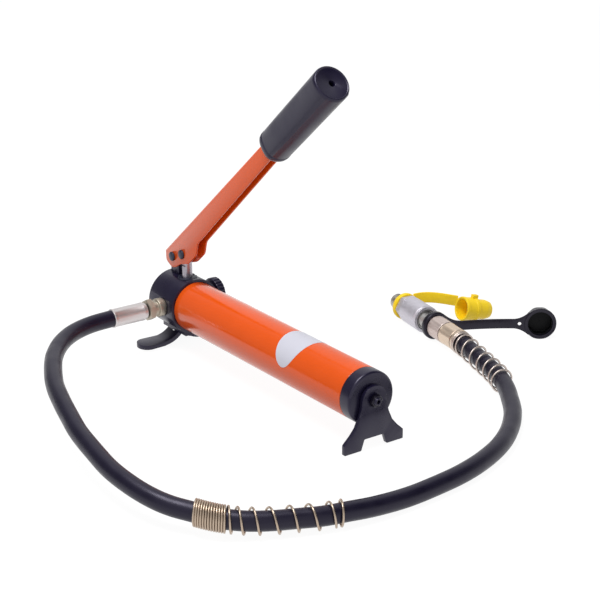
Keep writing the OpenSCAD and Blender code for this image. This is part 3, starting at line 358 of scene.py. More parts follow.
def skin(sections, ring=False):
    """A skin through closed loops of equal length. A ring's last loop joins its first, or the ends close."""
    bm = bmesh.new()
    loops = []
    for points in sections:
        verts = [bm.verts.new(p) for p in points]
        loops.append([bm.edges.new(pair) for pair in zip(verts, verts[1:] + verts[:1])])
    for low, high in zip(loops, loops[1:] + loops[:1] if ring else loops[1:]):
        bmesh.ops.bridge_loops(bm, edges=low + high)
    if not ring:
        for end in (loops[0], loops[-1]):
            bmesh.ops.contextual_create(bm, geom=end)
    bmesh.ops.recalc_face_normals(bm, faces=bm.faces)
    return bm


def even(r):
    """The same radius at every angle, for round_loop."""
    return lambda angle: r


def level(h):
    """The same height all round, for round_loop."""
    return lambda angle, r: h


def round_loop(radius_at, height_at, count):
    """A closed loop whose radius follows its angle, and whose height follows both."""
    loop = []
    for k in range(count):
        angle = math.tau * k / count
        r = radius_at(angle)
        loop.append(Vector((r * math.cos(angle), r * math.sin(angle), height_at(angle, r))))
    return loop


def hexagon_radius(across_flats, angle):
    wedge = math.pi / 3
    return across_flats / 2 / math.cos((angle + wedge / 2) % wedge - wedge / 2)


def hex_nut(across_flats, low, high, bore):
    """A hexagon with turned end chamfers and a bore."""
    shoulder = across_flats / 2 * NUT_SHOULDER
    slope = math.tan(math.radians(NUT_CHAMFER))

    def outer(angle):
        return hexagon_radius(across_flats, angle)

    def drop(r):
        return NUT_RIM + max(0, r - shoulder) * slope

    return skin([
        round_loop(even(bore), level(low), NUT_POINTS),
        round_loop(even(shoulder - NUT_RIM), level(low), NUT_POINTS),
        round_loop(outer, lambda angle, r: low + drop(r), NUT_POINTS),
        round_loop(outer, lambda angle, r: high - drop(r), NUT_POINTS),
        round_loop(even(shoulder - NUT_RIM), level(high), NUT_POINTS),
        round_loop(even(bore), level(high), NUT_POINTS),
    ], ring=True)


def pressed(rows, flats, count=96):
    """Loops from rows of radius, depth of the flats pressed into it, and height."""
    def radius(r, depth):
        return lambda angle: r - depth * (1 + math.cos(flats * angle)) / 2

    return [round_loop(radius(r, depth), level(h), count) for r, depth, h in rows]


def crimped(rows, flats, bore, count=96):
    """A sleeve pressed into flats, with a bore given as radius and height from the far end."""
    inside = [round_loop(even(r), level(h), count) for r, h in bore]
    return skin(pressed(rows, flats, count) + inside, ring=True)


def circle_points(x, y, r, count):
    return [
        (x + r * math.cos(math.tau * k / count), y + r * math.sin(math.tau * k / count)) for k in range(count)
    ]


def plate(outline, holes, low, high, soften):
    """A flat plate with holes, its edges rounded a little."""
    bm = bmesh.new()
    edges = []
    for rim in [outline] + holes:
        verts = [bm.verts.new((p[0], p[1], low)) for p in rim]
        edges += [bm.edges.new(pair) for pair in zip(verts, verts[1:] + verts[:1])]
    bmesh.ops.triangle_fill(bm, use_beauty=True, use_dissolve=False, edges=edges)
    grown = bmesh.ops.extrude_face_region(bm, geom=bm.faces[:])
    lifted = [part for part in grown["geom"] if isinstance(part, bmesh.types.BMVert)]
    bmesh.ops.translate(bm, verts=lifted, vec=(0, 0, high - low))
    bmesh.ops.recalc_face_normals(bm, faces=bm.faces)
    soften_edges(bm, soften, PLATE_CORNER)
    return bm


def soften_edges(bm, width, sharper_than):
    """Rounds off the edges whose faces turn by more than a number of degrees."""
    sharp = [
        edge for edge in bm.edges
        if len(edge.link_faces) == 2 and edge.calc_face_angle(0) > math.radians(sharper_than)
    ]
    bmesh.ops.bevel(
        bm, geom=sharp, offset=width, offset_type="OFFSET", affect="EDGES", segments=2, profile=0.5,
        material=-1, clamp_overlap=True,
    )


def softened(node, width):
    """A copy of a CAD node's shape, in millimetres, with its sharp edges rounded off."""
    bm = bmesh.new()
    bm.from_mesh(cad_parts[node].data)
    bm.transform(Matrix.Scale(1 / MM, 4))
    bmesh.ops.remove_doubles(bm, verts=bm.verts, dist=1e-3)
    bmesh.ops.dissolve_limit(
        bm, angle_limit=math.radians(0.5), use_dissolve_boundaries=False, verts=bm.verts, edges=bm.edges
    )
    bmesh.ops.recalc_face_normals(bm, faces=bm.faces)
    soften_edges(bm, width, CAD_CORNER)
    return bm


def shown(piece, body, replaced):
    """Joins a piece to its body, and hides the CAD nodes that it stands for."""
    bpy.context.scene.collection.objects.link(piece)
    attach(piece, body)
    if replaced:
        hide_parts(*replaced)
    return piece


def finished(name, bm, place, surface, replaced=(), body="pump", crease=35):
    """Puts a shape in its place as a named piece of the pump."""
    bm.transform(Matrix.Scale(MM, 4) @ place)
    mesh = bpy.data.meshes.new(name)
    bm.to_mesh(mesh)
    bm.free()
    mesh.shade_smooth()
    mesh.set_sharp_from_angle(angle=math.radians(crease))
    mesh.materials.append(surface)
    return shown(bpy.data.objects.new(name, mesh), body, replaced)


def wire(name, points, radius, surface, replaced, smooth=4):
    """A round bar along a line of points, as a curve."""
    data = bpy.data.curves.new(name, "CURVE")
    data.dimensions = "3D"
    data.bevel_depth = radius * MM
    data.bevel_resolution = smooth
    data.use_fill_caps = True
    line = data.splines.new("POLY")
    line.points.add(len(points) - 1)
    for spot, p in zip(line.points, points):
        spot.co = (p.x * MM, p.y * MM, p.z * MM, 1)
    data.materials.append(surface)
    return shown(bpy.data.objects.new(name, data), "pump", replaced)


# Hose route: a smooth line through the points of the CAD hose
HOSE_D = 17.5
HOSE_LIE = 8.9
HOSE_EXIT = (-150, -89, AXIS_H)


def coupler_point(w):
    return (COUPLER @ Vector((0, 0, w))).to_tuple()


HOSE_ROUTE = [Vector(p) for p in (
    (-150, -64, AXIS_H), HOSE_EXIT,
    (-148.3, -111.5, 47), (-142.5, -131, 47), (-132, -149.5, 47), (-116, -167.5, 47), (-92, -186.5, 47),
    (-62.5, -203.5, 47), (-33, -217.5, 45.5), (-1.5, -228, 43.5), (28.5, -236, 40.5), (56, -242.5, 37.5),
    (87, -246.5, 34), (121, -249, 29.5), (152, -247, 26), (176, -242, 23), (194, -234.5, 20.5),
    (210, -224, 18.5), (227.5, -211.5, 16.5), (242, -195, 14.5), (253, -175.5, 13.2), (262, -154, 12.5),
    (270.5, -133.5, 12.1), (276, -111.5, 12), (279.5, -85.5, 10.5), (280, -52, HOSE_LIE),
    (278, -20, HOSE_LIE), (273, 16, HOSE_LIE), (263.5, 50, HOSE_LIE), (249, 83, HOSE_LIE),
    (229, 113, HOSE_LIE), (204, 140, 10), (175, 162, 11), (156, 174, 12.3), (136, 184, 13),
    (115, 191, 13.6), (94, 197, 14.2), (68, 205, 14.8),
    coupler_point(64.5), coupler_point(48.5),
)]


def along_hose(t):
    """The point of the hose's smooth line at route point t, which may lie between two of them."""
    last = len(HOSE_ROUTE) - 1
    i = max(0, min(math.floor(t), last - 1))
    f = t - i
    b, c = HOSE_ROUTE[i], HOSE_ROUTE[i + 1]
    a = HOSE_ROUTE[i - 1] if i > 0 else 2 * b - c
    d = HOSE_ROUTE[i + 2] if i + 2 <= last else 2 * c - b
    return (2 * b + (c - a) * f + (2 * a - 5 * b + 4 * c - d) * f ** 2 + (3 * b - a - 3 * c + d) * f ** 3) / 2


def hose_heading(t):
    return (along_hose(t + 0.05) - along_hose(t - 0.05)).normalized()


STEPS_PER_POINT = 12
hose_line = [
    along_hose(k / STEPS_PER_POINT) for k in range((len(HOSE_ROUTE) - 1) * STEPS_PER_POINT + 1)
]
hose = wire("rubber_hose", hose_line, HOSE_D / 2, rubber, ["hose"], smooth=8)


# Spring guards on the hose
GUARD_WIRE = 2
GUARD_CLOSE_PITCH = 2.2
GUARD_SPACING = 22.6
GUARD_FOLLOWS = 0.5
GUARD_STANDS = 0.85
COIL_STEPS = 32
MID_GUARD_FROM = 17.13
MID_GUARD_D = 24.3
MID_GUARD_LIFTS = (0.1, -0.15)
MID_GUARD_PITCHES = 13 * [GUARD_CLOSE_PITCH] + [7, 12, 14, 17, 15.5, 19, 13, 1]
END_GUARD_FROM = len(HOSE_ROUTE) - 2.27
END_GUARD_D = 24.2
END_GUARD_LIFTS = (-0.2, -0.6)
END_GUARD_PITCHES = 2 * [GUARD_CLOSE_PITCH] + [9.5, 15, 16, 16, 16, 14, 6]


def coil(start, way, diameter, lifts, pitches, phase=0.0):
    """A right-hand coil with a pitch for each turn, which follows the hose less towards its end."""
    total = sum(pitches)
    straight = (along_hose(start + way * total / GUARD_SPACING) - along_hose(start)).normalized() * way
    points = []
    run = 0
    for pitch in pitches:
        for k in range(COIL_STEPS):
            done = (run + pitch * k / COIL_STEPS) / total
            t = start + way * done * total / GUARD_SPACING
            stiffness = GUARD_FOLLOWS + (GUARD_STANDS - GUARD_FOLLOWS) * done
            h = hose_heading(t).lerp(straight, stiffness).normalized()
            side = h.cross(UP).normalized()
            angle = math.tau * (k / COIL_STEPS + phase)
            out = math.cos(angle) * side - way * math.sin(angle) * side.cross(h)
            lift = lifts[0] + (lifts[1] - lifts[0]) * done
            points.append(along_hose(t) + UP * lift + out * (diameter - GUARD_WIRE) / 2)
        run += pitch
    return points


# The mid guard takes the darker copy of the wire, as painted shade, and the end guard the paler copy, as
# painted light
mid_guard = wire(
    "mid_guard_coil", coil(MID_GUARD_FROM, 1, MID_GUARD_D, MID_GUARD_LIFTS, MID_GUARD_PITCHES, phase=0.5),
    GUARD_WIRE / 2, guard_wire_shaded, ["mid_spring_guard"],
)
end_guard = wire(
    "end_guard_coil", coil(END_GUARD_FROM, -1, END_GUARD_D, END_GUARD_LIFTS, END_GUARD_PITCHES),
    GUARD_WIRE / 2, guard_wire_lit, ["end_spring_guard"],
)


# Reservoir: tube, end cap and label
TUBE_R = 26
TUBE_INNER_R = 23.5
TUBE_END = 151
ROD_BORE_R = 4.06
CAP_PLUG_R = 23.4
CAP_FACE = 165.2
CAP_EDGE_R = 3
CAP_RECESS_R = 9.5
LABEL_AT = 60
LABEL_HALF_W = 18.8
LABEL_HALF_ARC = 39
LABEL_T = 0.15
LABEL_RINGS = [0, 0.12, 0.25, 0.37, 0.5, 0.62, 0.75, 0.87, 0.95, 1]

tube_lo, tube_hi = (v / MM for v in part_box("reservoir_tube"))
finished(
    "reservoir_barrel",
    lathe(eased([
        (TUBE_INNER_R, tube_lo.x), (TUBE_R, tube_lo.x), (TUBE_R, tube_hi.x), (TUBE_INNER_R, tube_hi.x)
    ], 0.5, closed=True), steps=160, ring=True),
    ALONG_PUMP, orange, ["reservoir_tube"],
)
cap_lo, cap_hi = (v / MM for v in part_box("end_cap"))
finished(
    "end_cap_turned",
    lathe(
        [(ROD_BORE_R, cap_lo.x), (CAP_PLUG_R, cap_lo.x), (CAP_PLUG_R, TUBE_END + 0.3)]
        + [(TUBE_R - 0.3, TUBE_END + 0.3), (TUBE_R, TUBE_END + 0.6)]
        + eased([(TUBE_R, TUBE_END + 0.7), (TUBE_R, CAP_FACE), (CAP_RECESS_R, CAP_FACE)], CAP_EDGE_R, steps=6)
        + [(CAP_RECESS_R, cap_hi.x), (ROD_BORE_R, cap_hi.x)],
        steps=128, ring=True,
    ),
    ALONG_PUMP, black_coat, ["end_cap"],
)


def tube_label():
    """A blank oval patch on the top of the tube: a thin disc, bent round the tube."""
    bm = lathe([(r, 1) for r in LABEL_RINGS] + [(r, 0) for r in reversed(LABEL_RINGS)], steps=96)
    for v in bm.verts:
        angle = math.pi / 2 + v.co.y * LABEL_HALF_ARC / TUBE_R
        r = TUBE_R + LABEL_T * v.co.z
        v.co = (LABEL_AT + LABEL_HALF_W * v.co.x, r * math.cos(angle), AXIS_H + r * math.sin(angle))
    # The bend mirrors the disc, so its faces are turned round
    bmesh.ops.reverse_faces(bm, faces=bm.faces)
    return bm


finished("blank_label", tube_label(), Matrix(), label_white)

# Tie rod, its nuts and the front foot
ROD_R = 4
ROD_TIP_R = 3.2
ROD_TIP_FROM = 174.6
ROD_HOLE_R = 1.9
ROD_HOLE_DEPTH = 6
ROD_NUT_AF = 15
ROD_NUT_SPAN = (161, 166)
END_NUT_AF = 11
END_NUT_SPAN = (170.1, 174.2)
FOOT_BACK = 166
FOOT_T = 4
FOOT_TOP_R = 14
FOOT_EASE = 0.9
FOOT_HALF = [
    (11.2, 10.5), (14.8, 0), (34, 0), (34, 9.5), (26.5, 16.5), (21, 23), (16.5, 33), (14, 44),
]

rod_lo, rod_hi = (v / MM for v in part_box("tie_rod"))
hole_floor = rod_hi.x - ROD_HOLE_DEPTH
finished(
    "tie_rod_bar",
    lathe([(0, rod_lo.x)] + eased([
        (0.2, rod_lo.x), (ROD_R, rod_lo.x), (ROD_R, ROD_TIP_FROM), (ROD_TIP_R, ROD_TIP_FROM + 0.3),
        (ROD_TIP_R, rod_hi.x), (ROD_HOLE_R, rod_hi.x), (ROD_HOLE_R, hole_floor), (0.2, hole_floor)
    ], 0.5) + [(0, hole_floor)], steps=48),
    ALONG_PUMP, black_coat, ["tie_rod"],
)
finished(
    "rod_nut", hex_nut(ROD_NUT_AF, *ROD_NUT_SPAN, ROD_BORE_R),
    ALONG_PUMP, black_coat, ["tie_rod_nut"],
)
finished(
    "rod_end_nut", hex_nut(END_NUT_AF, *END_NUT_SPAN, ROD_BORE_R), ALONG_PUMP, cap_rubber
)


def foot_outline():
    """Half the foot from its notch up one leg, the round top, and the other half back down."""
    top = [
        (FOOT_TOP_R * math.cos(math.radians(a)), AXIS_H + FOOT_TOP_R * math.sin(math.radians(a)))
        for a in range(0, 181, 15)
    ]
    other_half = [(-y, z) for y, z in reversed(FOOT_HALF)]
    return eased(FOOT_HALF + top + other_half, FOOT_EASE, closed=True)


finished(
    "front_foot_plate",
    plate(foot_outline(), [circle_points(0, AXIS_H, ROD_BORE_R, 32)], FOOT_BACK, FOOT_BACK + FOOT_T, 0.5),
    FOOT, black_coat, ["front_foot"], crease=50,
)

# Head and lever parts keep the CAD shapes, with softened edges
for node, piece, width, surface, slot, body in (
    ("pump_head", "pump_head_block", 0.7, black_coat, "black_coat", "pump"),
    ("fulcrum_link", "fulcrum_link_bar", 0.5, black_coat, "black_coat", "pump"),
    ("gland_nut", "gland_nut_turned", 0.3, dark_steel, "steel", "pump"),
    ("plunger", "plunger_rod", 0.4, steel, "steel", "plunger"),
):
    finished(piece, softened(node, width), Matrix(), surface, [node], body)

# Rear foot
TONGUE_START = 20
TONGUE_EASE = 8
TONGUE_WIDENING = 0.14


def wide_rear_foot():
    """The rear foot's CAD shape, with its two tongues a little wider along the pump."""
    bm = softened("rear_foot", 0.7)
    tongues = [v for v in bm.verts if abs(v.co.y) > TONGUE_START]
    middle = (min(v.co.x for v in tongues) + max(v.co.x for v in tongues)) / 2
    for v in tongues:
        share = min(1, (abs(v.co.y) - TONGUE_START) / TONGUE_EASE)
        v.co.x += (v.co.x - middle) * TONGUE_WIDENING * share
    return bm


finished("rear_foot_strap", wide_rear_foot(), Matrix(), black_coat, ["rear_foot"])

# Pins of the handle
PIN_R = 3
PIN_HALF = 6.25
PIN_TAIL = 2
PIN_HEAD_R = 4.85
PIN_HEAD_T = 2.5


def pin_shape():
    """A pin across the handle, with a domed head at one end."""
    tip = -PIN_HALF - PIN_TAIL
    return lathe(
        [(0, PIN_HALF + PIN_HEAD_T)]
        + eased([
            (3.4, PIN_HALF + 2.4), (PIN_HEAD_R, PIN_HALF + 1.6), (PIN_HEAD_R, PIN_HALF), (PIN_R, PIN_HALF)
        ], 0.5)
        + eased([(PIN_R, PIN_HALF), (PIN_R, tip), (0.2, tip)], 0.5) + [(0, tip)],
        steps=40,
    )


for node, spot in (("fulcrum_pin", FULCRUM), ("plunger_pin", PLUNGER_PIN)):
    finished(
        node + "_turned", pin_shape(), at(*spot) @ turned(90, "X"), dark_steel, [node], "handle"
    )

# Handle: a pressed channel, open at the front
CHANNEL_START = -9
CHANNEL_END = 342
CHANNEL_HALF = 6.25
CHANNEL_EASE = 3.5
CHANNEL_NECK = 53.5
BACK_AT_PIN = 12.1
BACK_TAPER = 2.3
FRONT_AT_PIN = 12.9
FRONT_TAPER = 8.1
BEND_R = 2.6
SHEET_T = 2
SHEET_EDGE = 0.4


def back_edge(u):
    """How far back the channel reaches from the pin's line, at a distance along it."""
    return BACK_AT_PIN - BACK_TAPER * u / CHANNEL_END


def front_edge(u):
    """How far forward the channel reaches from the pin's line, at a distance along it."""
    return FRONT_AT_PIN - FRONT_TAPER * u / CHANNEL_END


def handle_sheet():
    """The outer skin of the channel: a cheek on each side, and the bent web that joins them at the back."""
    low = (CHANNEL_START, back_edge(CHANNEL_START) - BEND_R)
    high = (CHANNEL_END, back_edge(CHANNEL_END) - BEND_R)
    cheek = eased([
        low, (-14.6, 3), (-9.9, -8.5), (-3, -11.8), (7, -12.9), (22, -19.7), (42, -19.7),
        (CHANNEL_NECK, -front_edge(CHANNEL_NECK)), (CHANNEL_END, -front_edge(CHANNEL_END)), high
    ], CHANNEL_EASE)
    bm = bmesh.new()
    for side in (-1, 1):
        bm.faces.new([bm.verts.new((p[0], p[1], side * CHANNEL_HALF)) for p in cheek])
    arc = [math.radians(a) for a in range(0, 91, 15)]
    bend = [(BEND_R * math.sin(a), CHANNEL_HALF - BEND_R + BEND_R * math.cos(a)) for a in arc]
    bend += [(v, -z) for v, z in reversed(bend)]
    chain = [bm.verts.new((CHANNEL_START, low[1] + v, z)) for v, z in bend]
    edges = [bm.edges.new(pair) for pair in zip(chain, chain[1:])]
    grown = bmesh.ops.extrude_edge_only(bm, edges=edges)
    moved = [part for part in grown["geom"] if isinstance(part, bmesh.types.BMVert)]
    bmesh.ops.translate(bm, verts=moved, vec=(CHANNEL_END - CHANNEL_START, high[1] - low[1], 0))
    bmesh.ops.remove_doubles(bm, verts=bm.verts, dist=1e-3)
    bmesh.ops.recalc_face_normals(bm, faces=bm.faces)
    return bm


channel = finished(
    "handle_pressing", handle_sheet(), HANDLE, orange, ["handle_channel"], "handle"
)
sheet = channel.modifiers.new("sheet", "SOLIDIFY")
sheet.thickness = SHEET_T * MM
sheet.offset = -1
sheet.use_even_offset = True
rounding = channel.modifiers.new("edges", "BEVEL")
rounding.width = SHEET_EDGE * MM
rounding.segments = 2
rounding.limit_method = "ANGLE"
rounding.angle_limit = math.radians(60)

# Grip: rings of distance along it and radius
GRIP_START = 231
GRIP_RISE = 2.2
GRIP_POINTS = 120
GRIP_FLAT = 0.92
GRIP_ROUND_FROM = 100
GRIP_ROUNDING = 0.02
GRIP_SEAM = 0.5
GRIP_SEAM_AT = 0.75
GRIP_SEAM_HALF = 0.06
GRIP_SEAM_FROM_R = 16.9
GRIP_RINGS = [
    (0, 9), (0.5, 11.8), (1.6, 14.0), (3.2, 15.6), (5.4, 16.7), (7.5, 17.1), (9.5, 17.1), (10.2, 16.8),
    (11, 16.8), (12, 16.95), (40, 17.3), (80, 17.6), (112, 17.9), (118.5, 18), (120.8, 17.95), (122.2, 17.5),
    (122.9, 16.8), (123, 16.2), (122.5, 15.7), (122.2, 15.2), (122.2, 3.5), (121.9, 3.2), (115, 3.2),
]


def grip_loop(along, r):
    """A loop with flat sides, which grow round towards the free end, and a raised seam low on each side."""
    flat = r * (GRIP_FLAT + max(0, along - GRIP_ROUND_FROM) * GRIP_ROUNDING)
    seam_rise = GRIP_SEAM if r > GRIP_SEAM_FROM_R else 0
    loop = []
    for k in range(GRIP_POINTS):
        angle = math.tau * k / GRIP_POINTS
        off_seam = abs(abs(angle - 1.5 * math.pi) - GRIP_SEAM_AT)
        seam = seam_rise * max(0, 1 - off_seam / GRIP_SEAM_HALF)
        c, s = math.cos(angle), math.sin(angle)
        across = r * c / (1 + (abs(r * c) / flat) ** 8) ** (1 / 8)
        loop.append(Vector((GRIP_START + along, GRIP_RISE + (r + seam) * s, across * (1 + seam / r))))
    return loop


finished(
    "grip_sleeve",
    skin([grip_loop(along, r) for along, r in GRIP_RINGS]),
    HANDLE, grip_rubber, ["handle_grip"], "handle", crease=50,
)

# Release knob: rows of radius, depth of the grooves and height
KNOB_GROOVES = 20
KNOB_ROWS = [
    (8.5, 0, 31.3), (8.5, 0, 35.5), (14.3, 0.1, 35.5), (15.3, 0.4, 36.0), (15.7, 0.7, 36.8),
    (15.7, 0.7, 43.4), (15.3, 0.4, 44.2), (14.3, 0.1, 44.5), (9.5, 0, 44.5), (9.0, 0, 44.1), (2, 0, 44.1),
]


def knob_shape():
    def grooved(r, depth):
        return lambda angle: r - depth * ((1 + math.cos(KNOB_GROOVES * angle)) / 2) ** 4

    count = KNOB_GROOVES * 12
    return skin([round_loop(grooved(r, depth), level(h), count) for r, depth, h in KNOB_ROWS])


finished("knob_moulding", knob_shape(), RELEASE, black_coat, ["release_knob"], "release_valve")

# Pump end of the hose: adapter, nut and crimped ferrule
FERRULE_BORE_R = 8.7

finished(
    "hose_adapter_turned",
    lathe(eased([
        (4, -9), (6.9, -9), (6.9, 0.1), (8.8, 0.1), (8.8, 1.6), (9.75, 1.8), (9.75, 7.8), (9, 8.5),
        (7.6, 8.5), (7.6, 14), (4, 14)
    ], 0.5, closed=True), ring=True),
    PORT, nickel, ["hose_adapter"],
)
finished("hose_nut_hex", hex_nut(20, 13.5, 20.5, 4.5), PORT, nickel, ["hose_nut"])
finished(
    "pump_ferrule_crimp",
    crimped([
        (8.2, 0, 22.1), (8.5, 0, 22.4), (8.5, 0, 24.3), (9, 0, 24.5), (9.5, 0, 25), (9.5, 0, 27),
        (9.4, 0.35, 28), (9.4, 0.35, 58), (9.5, 0, 59), (9.7, 0, 59.6), (9.7, 0, 61), (9.3, 0, 61.5),
    ], 8, [(FERRULE_BORE_R, 61.5), (FERRULE_BORE_R, 36.4), (7, 36.4), (7, 22.1)]),
    PORT, silver, ["pump_ferrule"],
)


# Coupler
def threaded(radius, depth, low, high, pitch):
    """Ridges of a thread, as profile points of radius and height."""
    count = int((high - low) / pitch)
    points = []
    for k in range(count):
        base = low + k * pitch
        points += [(radius - depth, base), (radius, base + 0.35 * pitch), (radius, base + 0.65 * pitch)]
    return points + [(radius - depth, low + count * pitch)]


collar = finished(
    "collar_sleeve",
    lathe(eased([
        (10.6, -35), (13.4, -35), (14.6, -33.8), (14.75, -3.4), (14.2, -3.0), (14.2, -2.4), (14.75, -2.0),
        (14.75, 0), (11.3, 0), (11.3, -4), (10.6, -4)
    ], 0.5, closed=True), steps=96, ring=True),
    COUPLER, collar_silver, ["coupler_collar"], "coupler_collar",
)
socket_hex = finished("socket_hex", hex_nut(25, -43.8, -35.3, 9.0), COUPLER, collar_silver)
socket_body = finished(
    "socket_body",
    lathe(
        [(4.5, -65.3), (7.4, -65.3)] + threaded(8.5, 0.9, -65, -51, 1.4) + [
            (8.5, -50.4), (10, -50.3), (10, -43.9), (10.4, -35.2), (10.5, -35), (10.5, -0.6), (9.4, -0.6),
            (9.4, -20), (4.5, -20)
        ], ring=True,
    ),
    COUPLER, inner_steel, ["coupler_socket"],
)
nipple = finished(
    "nipple_body",
    lathe(
        [(4, -20), (8, -20), (8, -3.6)] + threaded(8.75, 0.8, -3.5, 14.3, 1.9)
        + [(7.0, 14.4), (7, 30), (4, 30)],
        ring=True,
    ),
    COUPLER, inner_steel, ["coupler_nipple"],
)
coupler_nut = finished(
    "coupler_nut_sleeve",
    crimped([
        (10.6, 0, 21.4), (11.6, 0, 21.5), (12, 0.1, 22.2), (12, 0.3, 23), (12, 0.3, 41.6), (12, 0.1, 42.2),
        (11.7, 0, 42.6), (10, 0, 42.7), (10, 0, 43.4),
    ], 16, [(7.1, 43.4), (7.1, 21.4)], count=128),
    COUPLER, pink_steel, ["coupler_nut"],
)
coupler_ferrule = finished(
    "coupler_ferrule_crimp",
    crimped([
        (10, 0, 43.5), (10, 0, 43.9), (11.7, 0, 44), (12, 0, 44.6), (12, 0.6, 46), (12, 0.6, 65),
        (12, 0, 66.2), (11.8, 0, 66.6), (10.4, 0, 66.7), (10.4, 0, 67.6), (11.8, 0, 67.7), (12, 0, 68),
        (12, 0, 70.4), (11.4, 0, 71),
    ], 8, [(FERRULE_BORE_R, 71), (FERRULE_BORE_R, 43.5)]),
    COUPLER, bronze, ["coupler_ferrule"],
)

SEAL_R = 10.6
SEAL_WIRE_R = 0.62


def seal_ring(name, middle):
    profile = circle_points(SEAL_R, middle, SEAL_WIRE_R, 12)
    return finished(name, lathe(profile, ring=True), COUPLER, cap_rubber)


nut_seal = seal_ring("nut_seal_ring", 43.3)
ferrule_seal = seal_ring("ferrule_seal_ring", 67.15)


# Dust caps
BEND_STEPS = 24
CUT_SPACING = 2.5


def straight_bend_straight(start, heading, lead, stop, stop_heading, tail, reach):
    """A plan line in three parts: straight from one point, a smooth bend, and straight to another point."""
    a = start + heading * lead
    d = stop - stop_heading * tail
    b, c = a + heading * reach, d - stop_heading * reach
    line = [start]
    for k in range(BEND_STEPS + 1):
        f = k / BEND_STEPS
        line.append(a * (1 - f) ** 3 + 3 * b * f * (1 - f) ** 2 + 3 * c * f * f * (1 - f) + d * f ** 3)
    return line + [stop]


def plan_length(line):
    return sum((b - a).length for a, b in zip(line, line[1:]))


def on_plan(line, s):
    """The point at a distance along a plan line, and the way the line runs there. Its ends go on straight."""
    for a, b in zip(line, line[1:]):
        step = (b - a).length
        if s <= step or b is line[-1]:
            way = (b - a).normalized()
            return a + way * s, way
        s -= step


def bent_plate(outline, holes, thickness, soften, line, lift_at):
    """A plate drawn as distance along and height, and then stood on edge along a plan line."""
    bm = plate(outline, holes, -thickness / 2, thickness / 2, soften)
    first = min(p[0] for p in outline)
    last = max(p[0] for p in outline)
    cuts = int((last - first) / CUT_SPACING)
    for k in range(1, cuts):
        s = first + (last - first) * k / cuts
        everything = bm.verts[:] + bm.edges[:] + bm.faces[:]
        bmesh.ops.bisect_plane(bm, geom=everything, plane_co=(s, 0, 0), plane_no=(1, 0, 0), dist=1e-4)
    for v in bm.verts:
        s, height, out = v.co
        spot, way = on_plan(line, s)
        v.co = Vector((spot.x + way.y * out, spot.y - way.x * out, height + lift_at(s)))
    return bm


STRAP_T = 2
STRAP_EDGE = 0.4
COUPLER_SIDE = Vector((math.sin(math.radians(10)), math.cos(math.radians(10))))
COUPLER_H = 15.05

# Black cap: a ring on the coupler, a strap with a flare at each end, and a cup that faces forwards
BLACK_RING_AT = 17.7
BLACK_RING_R = 15
BLACK_RING_HOLE_R = 9.2
BLACK_CUP_R = 16.75
BLACK_CUP_HOLE_R = 13.2
BLACK_CUP = (61, 310.3, 16.8)
BLACK_TURN = -36
BLACK_STRAP_HALF = 5.25
BLACK_STRAP_DROP = 5
BLACK_EYE_R = 1.9
BLACK_EYE_BACK = 22
BLACK_BEND_REACH = 22
BLACK_DROP_FROM = 8
BLACK_DROP_RUN = 24
RING_FLARE_FROM = 10
RING_FLARE = (6, 16)
CUP_FLARE_FROM = 12
CUP_FLARE = (7.6, 17)
black_face = Vector((-math.sin(math.radians(BLACK_TURN)), math.cos(math.radians(BLACK_TURN))))
black_line = straight_bend_straight(
    Vector(coupler_point(BLACK_RING_AT)[:2]), COUPLER_SIDE, BLACK_RING_R,
    Vector(BLACK_CUP[:2]), black_face, BLACK_CUP_R, BLACK_BEND_REACH,
)
black_run = plan_length(black_line)


def disc_half(s, centre, r):
    return math.sqrt(max(0, r * r - (s - centre) ** 2))


def flare(distance, rise, reach):
    return BLACK_STRAP_HALF + rise * max(0, 1 - distance / reach) ** 2


def black_half(s):
    """Half the plate's height at a distance along it."""
    half = max(disc_half(s, 0, BLACK_RING_R), disc_half(s, black_run, BLACK_CUP_R))
    if RING_FLARE_FROM < s < black_run - CUP_FLARE_FROM:
        ring_end = flare(s - RING_FLARE_FROM, *RING_FLARE)
        cup_end = flare(black_run - CUP_FLARE_FROM - s, *CUP_FLARE)
        half = max(half, ring_end, cup_end)
    return half


def black_outline():
    first, last = -BLACK_RING_R, black_run + BLACK_CUP_R
    count = 140
    stations = [first + (last - first) * k / count for k in range(1, count)]
    top = [(s, black_half(s)) for s in stations]
    return [(first, 0)] + top + [(last, 0)] + [(s, -h) for s, h in reversed(top)]


def black_holes():
    return [
        circle_points(0, 0, BLACK_RING_HOLE_R, 40),
        circle_points(black_run - BLACK_EYE_BACK, 0, BLACK_EYE_R, 20),
        circle_points(black_run, 0, BLACK_CUP_HOLE_R, 48),
    ]


def smooth(f):
    """From 0 to 1 with a soft start and stop, and level beyond them."""
    f = min(1, max(0, f))
    return f * f * (3 - 2 * f)


def black_lift(s):
    """Height of the strap's middle: level with the ring, then low along the strap, and up to the cup."""
    drop = smooth((s - BLACK_DROP_FROM) / BLACK_DROP_RUN)
    rise = smooth((s - BLACK_DROP_FROM) / (black_run - BLACK_DROP_RUN))
    low = COUPLER_H - BLACK_STRAP_DROP * drop
    return low + (BLACK_CUP[2] - COUPLER_H + BLACK_STRAP_DROP) * rise


